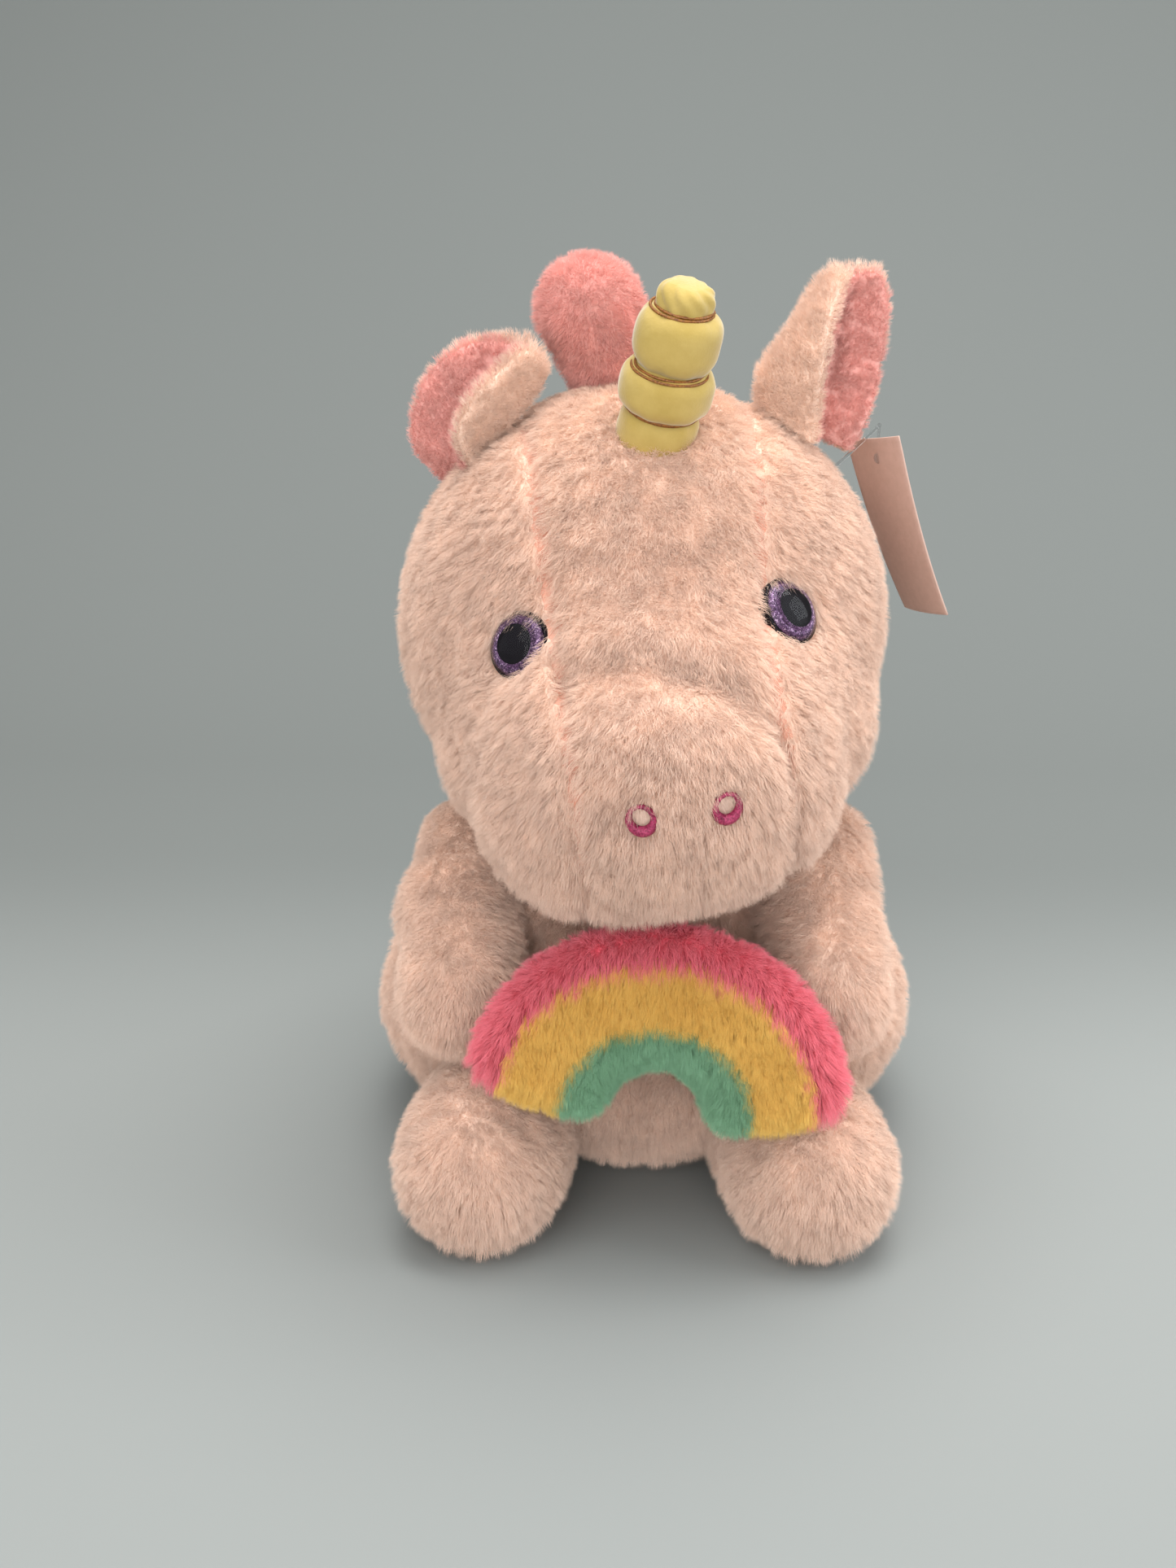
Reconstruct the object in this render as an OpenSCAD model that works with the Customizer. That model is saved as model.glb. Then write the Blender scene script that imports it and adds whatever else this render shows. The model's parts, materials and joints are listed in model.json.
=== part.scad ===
// Sitting plush unicorn holding a rainbow cushion. Millimetres, +Z up, the toy faces -Y.
// Its own left side is +X. The origin is on the floor, in the middle of its hips.

/* [Fabric] */
// Thickness of the pile fabric, backing and fur together
fabric_t = 5; // [4:0.5:6]
// Clear gap between pieces that move on each other
running_gap = 0.5; // [0.4:0.1:0.8]

/* [Torso] */
// Largest radius of the torso, at hip height
hip_r = 96; // [92:1:97]
// How far each half of the torso is set out sideways
hip_spread = 9; // [6:1:10]
// Radius of the rounded lower edge of the torso
hip_round_r = 42; // [40:1:44]
// Radius of the rounded shoulders
shoulder_round_r = 26; // [24:1:27]
// Height of the shoulders' centre of rounding
shoulder_z = 101; // [98:1:102]
// Radius of the round seat panel
seat_r = 50; // [46:1:52]
// How far the torso's middle lies behind the hips
torso_back = 20; // [18:1:22]

/* [Head] */
// Radius of the skull
skull_r = 86; // [84:1:86]
// Radius of the muzzle
muzzle_r = 53; // [51:1:53]
// Distance from the skull's middle to the muzzle's middle
muzzle_reach = 81; // [78:1:83]
// How far the muzzle points down
muzzle_droop = 22; // [20:1:24]
// How far the head leans to its own right
head_lean = 7; // [5:0.5:8]
// How far the face looks to its own left
head_yaw = 5; // [3:0.5:6]
// Half the width of the panel down the middle of the head
gusset_half_w = 34; // [30:1:36]
// Radius of the ball of stuffing in the neck
neck_r = 43; // [41:1:43]

/* [Face] */
// Radius of a plastic eye
eye_r = 11.5; // [10:0.5:12.5]
// Radius of a stitched nostril
nostril_r = 4.6; // [4:0.2:5]

/* [Arms and legs] */
// Radius of the shoulder end of an arm
shoulder_r = 20; // [19:1:21]
// Radius of the hand
hand_r = 23; // [21:1:24]
// Radius of the hip end of a leg
hip_ball_r = 31; // [29:1:31]
// Radius of the foot
foot_r = 33; // [32:1:33]
// Distance from the hip to the sole
leg_length = 60; // [56:1:62]

/* [Rainbow] */
// Outer radius of the rainbow
rainbow_r = 62; // [58:1:62]
// Radius of the gap under the rainbow
arch_r = 17; // [15:1:18]
// Thickness of the stuffed rainbow
rainbow_t = 26; // [22:1:28]

/* [Horn, mane and ears] */
// Length of the horn
horn_length = 51; // [48:1:53]
// Length of one ear
ear_length = 60; // [54:1:62]
// Thickness of one layer of an ear
ear_layer_t = 3.5; // [3:0.5:4]

/* [Hang tag] */
// Width of the card
tag_w = 30; // [26:1:32]
// Length of the card
tag_length = 72; // [66:1:74]

/* [Hidden] */
$fn = 72;

LEFT = 1;
RIGHT = -1;
big = 600;
arc_step = 7.5;
inner_gap = 0.3;
flex_gap = 2.2;
arm_lift = 3;
leg_swing = 10;
inside = fabric_t + inner_gap;

// Joint centres
neck_at = [0, 8, 133];
skull_at = [-2, 0, 211];
arm_pivot_y = -6;
arm_pivot_z = 121;
shoulder_x = 66;
hand_at = [65, -60, 88];
hip_at = [52, -46, foot_r];
leg_splay = 9;
rainbow_at = [4, -96, 68.5];
rainbow_lean = -6;
horn_at = [2.5, -43, 281];
horn_lean = 11.5;
horn_forward = 18;
forelock_at = [-10, 14, 294];
tail_at = [0, torso_back + hip_r - 4, 62];
ear_spread = 41;

// Colours
fur = "#f3d8cb";
pink = "#e88f93";
horn_yellow = "#ece39a";
thread_brown = "#a3702a";
rainbow_pink = "#dc6f8a";
rainbow_yellow = "#ecc264";
rainbow_green = "#5fa588";
fibre_white = "#f7f5f0";

// ---- shared shapes ----

// Points on an arc about [x, z], from angle a to angle b
function arc(x, z, r, a, b) =
    let (n = ceil(abs(b - a) / arc_step))
    [for (i = [0:n]) [x + r * cos(a + (b - a) * i / n), z + r * sin(a + (b - a) * i / n)]];

// Half outline of a bulb: a ball at 0 and a ball at height l, joined by their tangent cone
function bulb_outline(r1, r2, l) =
    let (t = asin((r1 - r2) / l))
    concat(arc(0, 0, r1, -90, t), arc(0, l, r2, t, 90));

// A solid bulb along +Z
module bulb(r1, r2, l) {
    rotate_extrude() polygon(bulb_outline(r1, r2, l));
}

// A bulb's skin
module bulb_skin(r1, r2, l, t = fabric_t) {
    rotate_extrude() difference() {
        polygon(bulb_outline(r1, r2, l));
        polygon(bulb_outline(r1 - t, r2 - t, l));
    }
}

// Half of space on one side of the YZ plane
module half_space(side) {
    translate([side * big / 2, 0, 0]) cube(big, center = true);
}

// Half of space in front of the XZ plane, or behind it
module front_space(front = true) {
    translate([0, front ? -big / 2 : big / 2, 0]) cube(big, center = true);
}

// Mirrors to the toy's right
module on_side(side) {
    mirror([side == RIGHT ? 1 : 0, 0, 0]) children();
}

// Aims a child's +Z from point a to point b
module aim(a, b) {
    d = b - a;
    translate(a) rotate([0, acos(d[2] / norm(d)), atan2(d[1], d[0])]) children();
}

// ---- torso ----

// Where the shoulders' rounding begins, out from each half's middle line
shoulder_flat_r = 34;

// Half outline of the torso, a pear with a flat seat, taken in by the given amount
function torso_outline(in) =
    let (
        low = [hip_r - hip_round_r, hip_round_r],
        high = [shoulder_flat_r, shoulder_z],
        d = high - low,
        t = atan2(d[1], d[0]) - acos((hip_round_r - shoulder_round_r) / norm(d))
    )
    concat(
        [[0, in]],
        arc(low[0], low[1], hip_round_r - in, -90, t),
        arc(high[0], high[1], shoulder_round_r - in, t, 90),
        [[0, shoulder_z + shoulder_round_r - in]]
    );

// One side's pear, set out sideways
module torso_pear(side, in = 0) {
    translate([side * hip_spread, torso_back, 0]) rotate_extrude() polygon(torso_outline(in));
}

// One side's skin
module torso_skin(side) {
    translate([side * hip_spread, torso_back, 0]) rotate_extrude() difference() {
        polygon(torso_outline(0));
        polygon(torso_outline(fabric_t));
    }
}

// One side's half of the torso, up to the middle plane
module torso_half(side, in = 0) {
    intersection() {
        torso_pear(side, in);
        half_space(side);
    }
}

// The ball-shaped room that the neck's stuffing turns in
module neck_room() {
    translate(neck_at) sphere(neck_r + running_gap);
}

// Room for one arm over its travel, set halfway up
module arm_room(side) {
    arm_place(side, arm_lift / 2) bulb(shoulder_r + flex_gap, hand_r + flex_gap, arm_length);
}

// Room for one leg over its splay: a ball at the hip, and a fan in front of it
module leg_room(side) {
    leg_gap = 1.5;
    reach = 1.2 * leg_length;
    half = foot_r + leg_gap;
    spread = reach * tan(leg_swing);
    on_side(side) translate(hip_at) {
        sphere(hip_ball_r + running_gap);
        rotate([0, 0, leg_splay]) translate([0, 0, -half]) linear_extrude(2 * half)
            polygon([[-half, 0], [half, 0], [half + spread, -reach], [-half - spread, -reach]]);
    }
}

// What fills a stuffed tuft of the mane or the tail
module tuft_stuffing(r1, r2, l) {
    taken_in = tuft_skin_t + inner_gap;
    bulb(r1 - taken_in, r2 - taken_in, l);
}

// Room for the tail's root to flex in
module tail_room() {
    tail_place() bulb(tail_root_r + flex_gap, tail_end_r + flex_gap, tail_length);
}

// One quarter of the torso's skin
module torso_panel(side, front) {
    color(fur) difference() {
        intersection() {
            torso_skin(side);
            half_space(side);
            translate([0, torso_back, 0]) front_space(front);
        }
        translate([0, torso_back, -1]) cylinder(r = seat_r, h = fabric_t + 2);
        neck_room();
        arm_room(side);
        if (front) leg_room(side);
        if (!front) tail_room();
    }
}

module seat_panel() {
    color(fur) difference() {
        translate([0, torso_back, 0]) cylinder(r = seat_r, h = fabric_t);
        leg_room(LEFT);
        leg_room(RIGHT);
    }
}

pellet_bag_r = 40;
pellet_bag_t = 16;
pellet_bag_at = [0, torso_back + 14, 17];

// Half section of a disc with a full round edge
module round_edged_disc(r, t) {
    polygon(concat([[0, -t / 2]], arc(r - t / 2, 0, t / 2, -90, 90), [[0, t / 2]]));
}

// The bag's form, grown by the given gap for the room it lies in
module pellet_bag_form(gap = 0) {
    translate(pellet_bag_at) rotate_extrude()
        round_edged_disc(pellet_bag_r + gap, pellet_bag_t + 2 * gap);
}

module pellet_bag() {
    color("#ddd6c8") pellet_bag_form();
}

module torso_stuffing() {
    color(fibre_white) difference() {
        union() {
            torso_half(LEFT, inside);
            torso_half(RIGHT, inside);
        }
        pellet_bag_form(inner_gap);
        neck_room();
        for (side = [LEFT, RIGHT]) {
            arm_room(side);
            leg_room(side);
        }
        tail_room();
    }
}

// A blank folded satin label that lies against the back, to the left of the tail
module care_label() {
    label_w = 18;
    label_length = 24;
    label_t = 0.8;
    label_turn = 20;
    color("white") translate([hip_spread, torso_back, hip_round_r]) rotate([0, 0, -label_turn])
        translate([-label_w / 2, hip_r + 0.05, -label_length / 2])
            cube([label_w, label_t, label_length]);
}

tail_root_r = 9;
tail_end_r = 13;
tail_length = 26;
tuft_skin_t = 3;

module tail_place() {
    translate(tail_at) rotate([-125, 0, 0]) children();
}

module tail_cover() {
    color(pink) tail_place() bulb_skin(tail_root_r, tail_end_r, tail_length, tuft_skin_t);
}

module tail_stuffing() {
    color(fibre_white) tail_place()
        tuft_stuffing(tail_root_r, tail_end_r, tail_length);
}

// ---- neck ----

module neck_stuffing() {
    color(fibre_white) translate(neck_at) sphere(neck_r);
}

// ---- head ----

// Puts a child modelled in the head's upright frame, with the skull's middle at 0, where it belongs
module head_place() {
    translate(skull_at) rotate([0, -head_lean, head_yaw]) children();
}

// Puts a child with its +Z on the muzzle's axis
module muzzle_place() {
    head_place() rotate([90 + muzzle_droop, 0, 0]) children();
}

module head_form(in = 0) {
    muzzle_place() bulb(skull_r - in, muzzle_r - in, muzzle_reach);
}

module head_skin() {
    muzzle_place() bulb_skin(skull_r, muzzle_r, muzzle_reach);
}

// Everything that is let into the head
module head_rooms() {
    neck_room();
    horn_place() cylinder(r = puff_r[0] + flex_gap, h = horn_length);
    horn_place() sphere(horn_root_r + flex_gap);
    forelock_place() bulb(forelock_root_r + flex_gap, forelock_end_r + flex_gap, forelock_length);
    for (side = [LEFT, RIGHT]) {
        ear_place(side) sphere(ear_root_r + running_gap);
        eye_place(side) translate([0, 0, -eye_seat_depth]) cylinder(r = eye_r + inner_gap, h = 2 * eye_r);
        eye_place(side) cylinder(r = eye_stem_r + 0.2, h = 4 * eye_stem_length, center = true);
    }
}

// Slab between two planes across the head's width
module width_slab(low, high) {
    head_place() translate([low, -big / 2, -big / 2]) cube([high - low, big, big]);
}

// How far along the muzzle's axis the crease over the nose lies
crease_at = 92;

// The part of space ahead of the crease over the nose, or behind it
module nose_space(ahead) {
    muzzle_place() translate([-big / 2, -big / 2, ahead ? crease_at : crease_at - big])
        cube(big);
}

// How far back and how high the chin's panel reaches, from the skull's middle
chin_back = 8;
chin_top = -10;

// Below the muzzle and in front of the neck, in the head's own frame
module chin_space() {
    head_place() translate([-big / 2, chin_back - big, chin_top - big]) cube(big);
}

// The middle panel in front of the crease over the nose, or behind it
module gusset(ahead) {
    difference() {
        intersection() {
            head_skin();
            width_slab(-gusset_half_w, gusset_half_w);
            nose_space(ahead);
        }
        head_rooms();
    }
}

module forehead_gusset() {
    color(fur) difference() {
        gusset(false);
        chin_space();
    }
}

module chin_gusset() {
    color(fur) intersection() {
        gusset(false);
        chin_space();
    }
}

module nose_gusset() {
    color(fur) gusset(true);
}

module head_side(side) {
    color(fur) difference() {
        intersection() {
            head_skin();
            if (side == LEFT) width_slab(gusset_half_w, big / 2);
            else width_slab(-big / 2, -gusset_half_w);
        }
        head_rooms();
        if (side == LEFT) tag_pin_hole();
    }
}

module head_stuffing() {
    color(fibre_white) difference() {
        head_form(inside);
        head_rooms();
        for (side = [LEFT, RIGHT]) eye_place(side) translate([0, 0, -eye_stem_length - 1])
            cylinder(r = eye_washer_r + 1, h = 3 * eye_stem_length);
        tag_pin_room();
    }
}

// ---- face ----

eye_stem_r = 2.4;
eye_stem_length = 14;
eye_washer_r = 9;
eye_seat_depth = 2.6;
eye_dome_h = 5;
iris_r = 0.86 * eye_r;
pupil_r = 0.6 * eye_r;
eye_side = 40.5;
eye_height = 15;
eye_turn = 42;
eye_up = 29;

// Puts a child with its +Z out of the face, its origin on the fabric's surface at one eye
module eye_place(side) {
    head_place() translate([side * eye_side, 0, 0]) rotate([90, 0, 0])
        translate([0, eye_height, eye_forward]) rotate([0, side * eye_turn, 0])
            rotate([-eye_up, 0, 0]) children();
}

// How far forward the head's surface is at the eyes
eye_forward = 87;

// Black plastic base, rim and pupil, with the stem that goes through the fabric
module eye(side) {
    color("#141216") eye_place(side) rotate_extrude() polygon([
        [0, -eye_stem_length],
        [eye_stem_r, -eye_stem_length],
        [eye_stem_r, -eye_seat_depth],
        [eye_r, -eye_seat_depth],
        [eye_r, 1],
        [iris_r, 1],
        [iris_r, 0],
        [pupil_r, 0],
        [pupil_r, 1.2],
        [0, 1.2]
    ]);
}

module iris(side) {
    color("#7d5a8c") eye_place(side) translate([0, 0, 0.05]) difference() {
        cylinder(r = iris_r - 0.05, h = 0.9);
        translate([0, 0, -1]) cylinder(r = pupil_r + 0.05, h = 3);
    }
}

// Clear domed cap over the pupil and the glitter
module eye_lens(side) {
    dome_r = (eye_r * eye_r + eye_dome_h * eye_dome_h) / (2 * eye_dome_h);
    color([0.9, 0.9, 0.95, 0.35]) eye_place(side) translate([0, 0, 1.3]) intersection() {
        translate([0, 0, eye_dome_h - dome_r]) sphere(dome_r);
        cylinder(r = eye_r, h = 2 * eye_dome_h);
    }
}

module eye_washer(side) {
    color("white") eye_place(side) translate([0, 0, -eye_stem_length + 1]) difference() {
        cylinder(r = eye_washer_r, h = 1.6);
        translate([0, 0, -1]) cylinder(r = eye_stem_r + 0.05, h = 4);
    }
}

nostril_thread_r = 0.9;
nostril_turn = 15;
nostril_droop = -17.5;

// Ring of satin stitches on the end of the muzzle
module nostril(side) {
    color("#b93a68") muzzle_place() translate([0, 0, muzzle_reach])
        rotate([nostril_droop, side * nostril_turn, 0]) translate([0, 0, muzzle_r + nostril_thread_r + 0.3])
            rotate_extrude() translate([nostril_r, 0]) circle(nostril_thread_r);
}

// ---- horn and mane ----

horn_root_r = 13;
horn_skin_t = 1.6;
horn_core_r = 5;
puff_h = 8.3;
puff_r = [16, 14.3, 9];
puff_z = [0.27, 0.59, 0.86] * horn_length;
groove_z = [0.105, 0.43, 0.745] * horn_length;
groove_r = [13, 9.5, 8.5];
thread_r = 0.7;

module horn_place() {
    translate(horn_at) rotate([horn_forward, horn_lean, 0]) children();
}

// The horn's puffs, one ball squeezed onto the next
module horn_form(in = 0) {
    sphere(horn_root_r - in);
    cylinder(r = horn_root_r - in, h = puff_z[0] - 4);
    for (i = [0:2]) translate([0, 0, puff_z[i]])
        rotate_extrude() puff_section(puff_r[i], min(puff_h, puff_r[i] - 0.5), in);
}

// Half section of a puff: a disc with a full round edge, taken in by the given amount
module puff_section(r, edge, in) {
    polygon(concat(
        [[0, in - edge]],
        arc(r - edge, 0, edge - in, -90, 90),
        [[0, edge - in]]
    ));
}

// One turn of thread pulled tight in a groove
module thread_ring(i, grow = 0) {
    translate([0, 0, groove_z[i]]) rotate_extrude() translate([groove_r[i] + 0.5, 0])
        circle(thread_r + grow);
}

module horn_cover() {
    color(horn_yellow) horn_place() difference() {
        horn_form();
        horn_form(horn_skin_t);
        cylinder(r = horn_core_r + inner_gap, h = puff_z[2]);
        for (i = [0:2]) thread_ring(i, 0.1);
    }
}

module horn_thread() {
    color(thread_brown) horn_place() for (i = [0:2]) thread_ring(i);
}

module horn_stuffing() {
    color(fibre_white) horn_place() {
        horn_form(horn_skin_t + inner_gap);
        cylinder(r = horn_core_r, h = puff_z[2]);
    }
}

forelock_root_r = 13;
forelock_end_r = 18;
forelock_length = 28;

module forelock_place() {
    translate(forelock_at) rotate([6, -26, 0]) children();
}

module forelock_cover() {
    color(pink) forelock_place()
        bulb_skin(forelock_root_r, forelock_end_r, forelock_length, tuft_skin_t);
}

module forelock_stuffing() {
    color(fibre_white) forelock_place()
        tuft_stuffing(forelock_root_r, forelock_end_r, forelock_length);
}

// Lobes of mane down the back of the head, half sunk in the seam
mane_lobes = 3;
mane_lobe_r = 17;
mane_first = 34;
mane_step = 19;

module mane_cover() {
    color(pink) difference() {
        head_place() for (i = [0:mane_lobes - 1]) rotate([-(mane_first + i * mane_step), 0, 0])
            translate([0, 0, skull_r]) sphere(mane_lobe_r);
        head_form(-inner_gap);
    }
}

// ---- ears ----

ear_root_r = 9;
ear_foot = 6;
ear_forward = 24;
folded_share = 0.66;
ear_cup_r = 21;
ear_w = 40;

// Puts a child at the root of one ear, its +Z away from the skull and its +Y backwards
module ear_place(side) {
    translate(skull_at) on_side(side) rotate([0, ear_spread, 0]) translate([0, 0, skull_r]) children();
}

// Half the width of the leaf at a share t of its length
function leaf_half_w(t) = ear_w / 2 * pow(1 - pow(t, 2.4), 0.6);

// Leaf outline of an ear in its own width and length
module ear_leaf(length) {
    steps = 10;
    polygon(concat(
        [for (i = [0:steps]) [leaf_half_w(i / steps), ear_foot + (length - ear_foot) * i / steps]],
        [for (i = [steps - 1:-1:0])
            [-leaf_half_w(i / steps), ear_foot + (length - ear_foot) * i / steps]]
    ));
}

// One layer of a cupped ear: a bent sheet between two radii, cut to the leaf
module ear_layer(r_in, r_out, length) {
    intersection() {
        translate([ear_cup_r, 0, 0]) rotate_extrude()
            translate([r_in, 0]) square([r_out - r_in, ear_length]);
        rotate([90, 0, 90]) translate([0, 0, -2 * ear_layer_t])
            linear_extrude(ear_cup_r + 2 * ear_layer_t) ear_leaf(length);
    }
}

// Turns the ear upright and its hollow outwards and forwards. The upright ear is set further in
// than the folded one, whose leaf leans over the skull
module ear_turn(side) {
    ear_upright = side == LEFT ? 20 : 40;
    ear_inset = side == LEFT ? 7 : 0;
    ear_place(side) rotate([0, -ear_upright, 0]) rotate([0, 0, -ear_forward])
        translate([-ear_inset, 0, 0]) children();
}

module ear_back(side, length) {
    color(fur) {
        ear_turn(side) ear_layer(ear_cup_r, ear_cup_r + ear_layer_t, length);
        ear_place(side) sphere(ear_root_r);
    }
}

module ear_lining(side, length) {
    color(pink) difference() {
        ear_turn(side) ear_layer(ear_cup_r - ear_layer_t, ear_cup_r - 0.05, length);
        ear_place(side) sphere(ear_root_r + 0.1);
    }
}

// ---- arms ----

shoulder_at = [shoulder_x, arm_pivot_y, arm_pivot_z];
arm_length = norm(hand_at - shoulder_at);

module arm_place(side, lift = 0) {
    on_side(side) translate([0, arm_pivot_y, arm_pivot_z]) rotate([-lift, 0, 0])
        translate([0, -arm_pivot_y, -arm_pivot_z]) aim(shoulder_at, hand_at) children();
}

module arm_panel(side, outer) {
    color(fur) arm_place(side) intersection() {
        bulb_skin(shoulder_r, hand_r, arm_length);
        half_space(outer ? LEFT : RIGHT);
    }
}

module arm_stuffing(side) {
    color(fibre_white) arm_place(side)
        bulb(shoulder_r - inside, hand_r - inside, arm_length);
}

// ---- legs ----

sole_round_r = 16;

// Puts a child with its +Z from the hip to the sole
module leg_place(side) {
    on_side(side) translate(hip_at) rotate([0, 0, leg_splay]) rotate([90, 0, 0]) children();
}

// Half outline of a leg: round at the hip, with a broad sole
function leg_outline(in) = concat(
    arc(0, 0, hip_ball_r - in, -90, 0),
    arc(foot_r - sole_round_r, leg_length - sole_round_r, sole_round_r - in, 0, 90),
    [[0, leg_length - in]]
);

// Where the sole's panel is sewn on
sole_seam = leg_length - 7;

module leg_skin() {
    rotate_extrude() difference() {
        polygon(leg_outline(0));
        polygon(leg_outline(fabric_t));
    }
}

module leg_cover(side) {
    color(fur) leg_place(side) intersection() {
        leg_skin();
        translate([-big / 2, -big / 2, sole_seam - big]) cube(big);
    }
}

module leg_sole(side) {
    color(fur) leg_place(side) intersection() {
        leg_skin();
        translate([-big / 2, -big / 2, sole_seam]) cube(big);
    }
}

module leg_stuffing(side) {
    color(fibre_white) leg_place(side) rotate_extrude() polygon(leg_outline(inside));
}

// ---- rainbow ----

rainbow_skin_t = 3;
rainbow_edge_r = 11;
rainbow_sink = 7;
pink_edge_r = 49;
yellow_edge_r = 30;

module rainbow_place() {
    translate(rainbow_at) rotate([rainbow_lean, 0, 0]) children();
}

// Turns a section into the rainbow's bow, its middle sunk under its feet, cut off at the given height
module bow(cut_z) {
    intersection() {
        translate([0, 0, -rainbow_sink]) rotate([90, 0, 0]) rotate_extrude() children();
        translate([-big / 2, -big / 2, cut_z]) cube(big);
    }
}

// Section of the rainbow's roll across its thickness, taken in by the given amount
module rainbow_section(in) {
    low = arch_r + rainbow_edge_r;
    high = rainbow_r - rainbow_edge_r;
    half_t = rainbow_t / 2 - rainbow_edge_r;
    r = rainbow_edge_r - in;
    polygon(concat(
        arc(high, -half_t, r, -90, 0),
        arc(high, half_t, r, 0, 90),
        arc(low, half_t, r, 90, 180),
        arc(low, -half_t, r, 180, 270)
    ));
}

module rainbow_skin() {
    difference() {
        bow(0) rainbow_section(0);
        bow(rainbow_skin_t) rainbow_section(rainbow_skin_t);
    }
}

// The hands press into the rainbow's back
module hand_rooms() {
    for (side = [LEFT, RIGHT]) on_side(side) translate(hand_at) sphere(hand_r + flex_gap);
}

// The bands are rings of the front's fabric
module rainbow_band(low, high) {
    difference() {
        rainbow_place() intersection() {
            rainbow_skin();
            front_space(true);
            translate([0, 0, -rainbow_sink]) rotate([90, 0, 0]) difference() {
                cylinder(r = high, h = rainbow_t);
                translate([0, 0, -1]) cylinder(r = low, h = rainbow_t + 2);
            }
        }
        hand_rooms();
    }
}

module rainbow_pink_band() {
    color(rainbow_pink) rainbow_band(pink_edge_r, rainbow_r + 1);
}

module rainbow_yellow_band() {
    color(rainbow_yellow) rainbow_band(yellow_edge_r, pink_edge_r);
}

module rainbow_green_band() {
    color(rainbow_green) rainbow_band(1, yellow_edge_r);
}

module rainbow_back() {
    color(rainbow_pink) difference() {
        rainbow_place() intersection() {
            rainbow_skin();
            front_space(false);
        }
        hand_rooms();
    }
}

module rainbow_stuffing() {
    color(fibre_white) difference() {
        rainbow_place() bow(rainbow_skin_t + inner_gap) rainbow_section(rainbow_skin_t + inner_gap);
        hand_rooms();
    }
}

// ---- hang tag ----

tag_hole_at = [86, 36, 262];
tag_tilt = 20;
tag_turn = -25;
tag_t = 0.8;
tag_hole_r = 1.5;
tag_hole_inset = 6;
pin_root_at = [60, 24, 251];
pin_filament_r = 0.6;
pin_bar_r = 0.9;
pin_bar_length = 9;
pin_head_r = 2.2;
pin_head_t = 1;
pin_post_length = 4;
// Where the filament bends, behind the card and clear of its top edge
pin_bend_at = tag_hole_at + [0, 1.5, 11];

module tag_pin_hole() {
    aim(pin_root_at, pin_bend_at) cylinder(r = pin_bar_r + 0.1, h = 4 * pin_bar_length, center = true);
}

// Room in the stuffing for the bar under the fabric
module tag_pin_room() {
    translate(pin_root_at) sphere(0.75 * pin_bar_length);
}

// Clear plastic fastener: a bar under the fabric, a filament, and a flat head in front of the card
module tag_pin() {
    color([0.9, 0.9, 0.9, 0.5]) {
        aim(pin_root_at, pin_bend_at) {
            cylinder(r = pin_filament_r, h = norm(pin_bend_at - pin_root_at));
            rotate([90, 0, 0]) cylinder(r = pin_bar_r, h = pin_bar_length, center = true);
        }
        translate(pin_bend_at) sphere(pin_bar_r);
        aim(tag_hole_at, pin_bend_at) cylinder(r = pin_filament_r, h = norm(pin_bend_at - tag_hole_at));
        translate(tag_hole_at) {
            sphere(pin_bar_r);
            rotate([90, 0, 0]) cylinder(r = pin_filament_r, h = pin_post_length);
            rotate([90, 0, 0]) translate([0, 0, pin_post_length]) cylinder(r = pin_head_r, h = pin_head_t);
        }
    }
}

// Blank card, its hole at the origin and its length down
module tag_outline() {
    difference() {
        translate([-tag_w / 2, tag_hole_inset - tag_length]) square([tag_w, tag_length]);
        circle(tag_hole_r);
    }
}

// The card hangs on the fastener's post, its lower end swung out from the head
module hang_tag() {
    color("#e9c4bb") translate(tag_hole_at - [0, 0.6 * pin_post_length, 0])
        rotate([0, -tag_tilt, 0]) rotate([0, 0, tag_turn]) rotate([90, 0, 0])
            linear_extrude(tag_t, center = true) tag_outline();
}

// ---- what each name draws ----

torso_panel(LEFT, true);  // torso_front_left
torso_panel(RIGHT, true);  // torso_front_right
torso_panel(LEFT, false);  // torso_back_left
torso_panel(RIGHT, false);  // torso_back_right
seat_panel();
torso_stuffing();
pellet_bag();
care_label();
tail_cover();
tail_stuffing();
neck_stuffing();
forehead_gusset();
nose_gusset();
chin_gusset();
head_side(LEFT);  // head_side_left
head_side(RIGHT);  // head_side_right
head_stuffing();
eye(LEFT);  // eye_left
eye(RIGHT);  // eye_right
iris(LEFT);  // iris_left
iris(RIGHT);  // iris_right
eye_lens(LEFT);  // eye_lens_left
eye_lens(RIGHT);  // eye_lens_right
eye_washer(LEFT);  // eye_washer_left
eye_washer(RIGHT);  // eye_washer_right
nostril(LEFT);  // nostril_left
nostril(RIGHT);  // nostril_right
horn_cover();
horn_thread();
horn_stuffing();
forelock_cover();
forelock_stuffing();
mane_cover();
ear_back(LEFT, ear_length);  // ear_left_back
ear_lining(LEFT, ear_length);  // ear_left_lining
ear_back(RIGHT, ear_length * folded_share);  // ear_right_back
ear_lining(RIGHT, ear_length * folded_share);  // ear_right_lining
arm_panel(LEFT, true);  // arm_left_outer
arm_panel(LEFT, false);  // arm_left_inner
arm_stuffing(LEFT);  // arm_left_stuffing
arm_panel(RIGHT, true);  // arm_right_outer
arm_panel(RIGHT, false);  // arm_right_inner
arm_stuffing(RIGHT);  // arm_right_stuffing
leg_cover(LEFT);  // leg_left_cover
leg_sole(LEFT);  // leg_left_sole
leg_stuffing(LEFT);  // leg_left_stuffing
leg_cover(RIGHT);  // leg_right_cover
leg_sole(RIGHT);  // leg_right_sole
leg_stuffing(RIGHT);  // leg_right_stuffing
rainbow_pink_band();
rainbow_yellow_band();
rainbow_green_band();
rainbow_back();
rainbow_stuffing();
tag_pin();
hang_tag();
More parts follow.
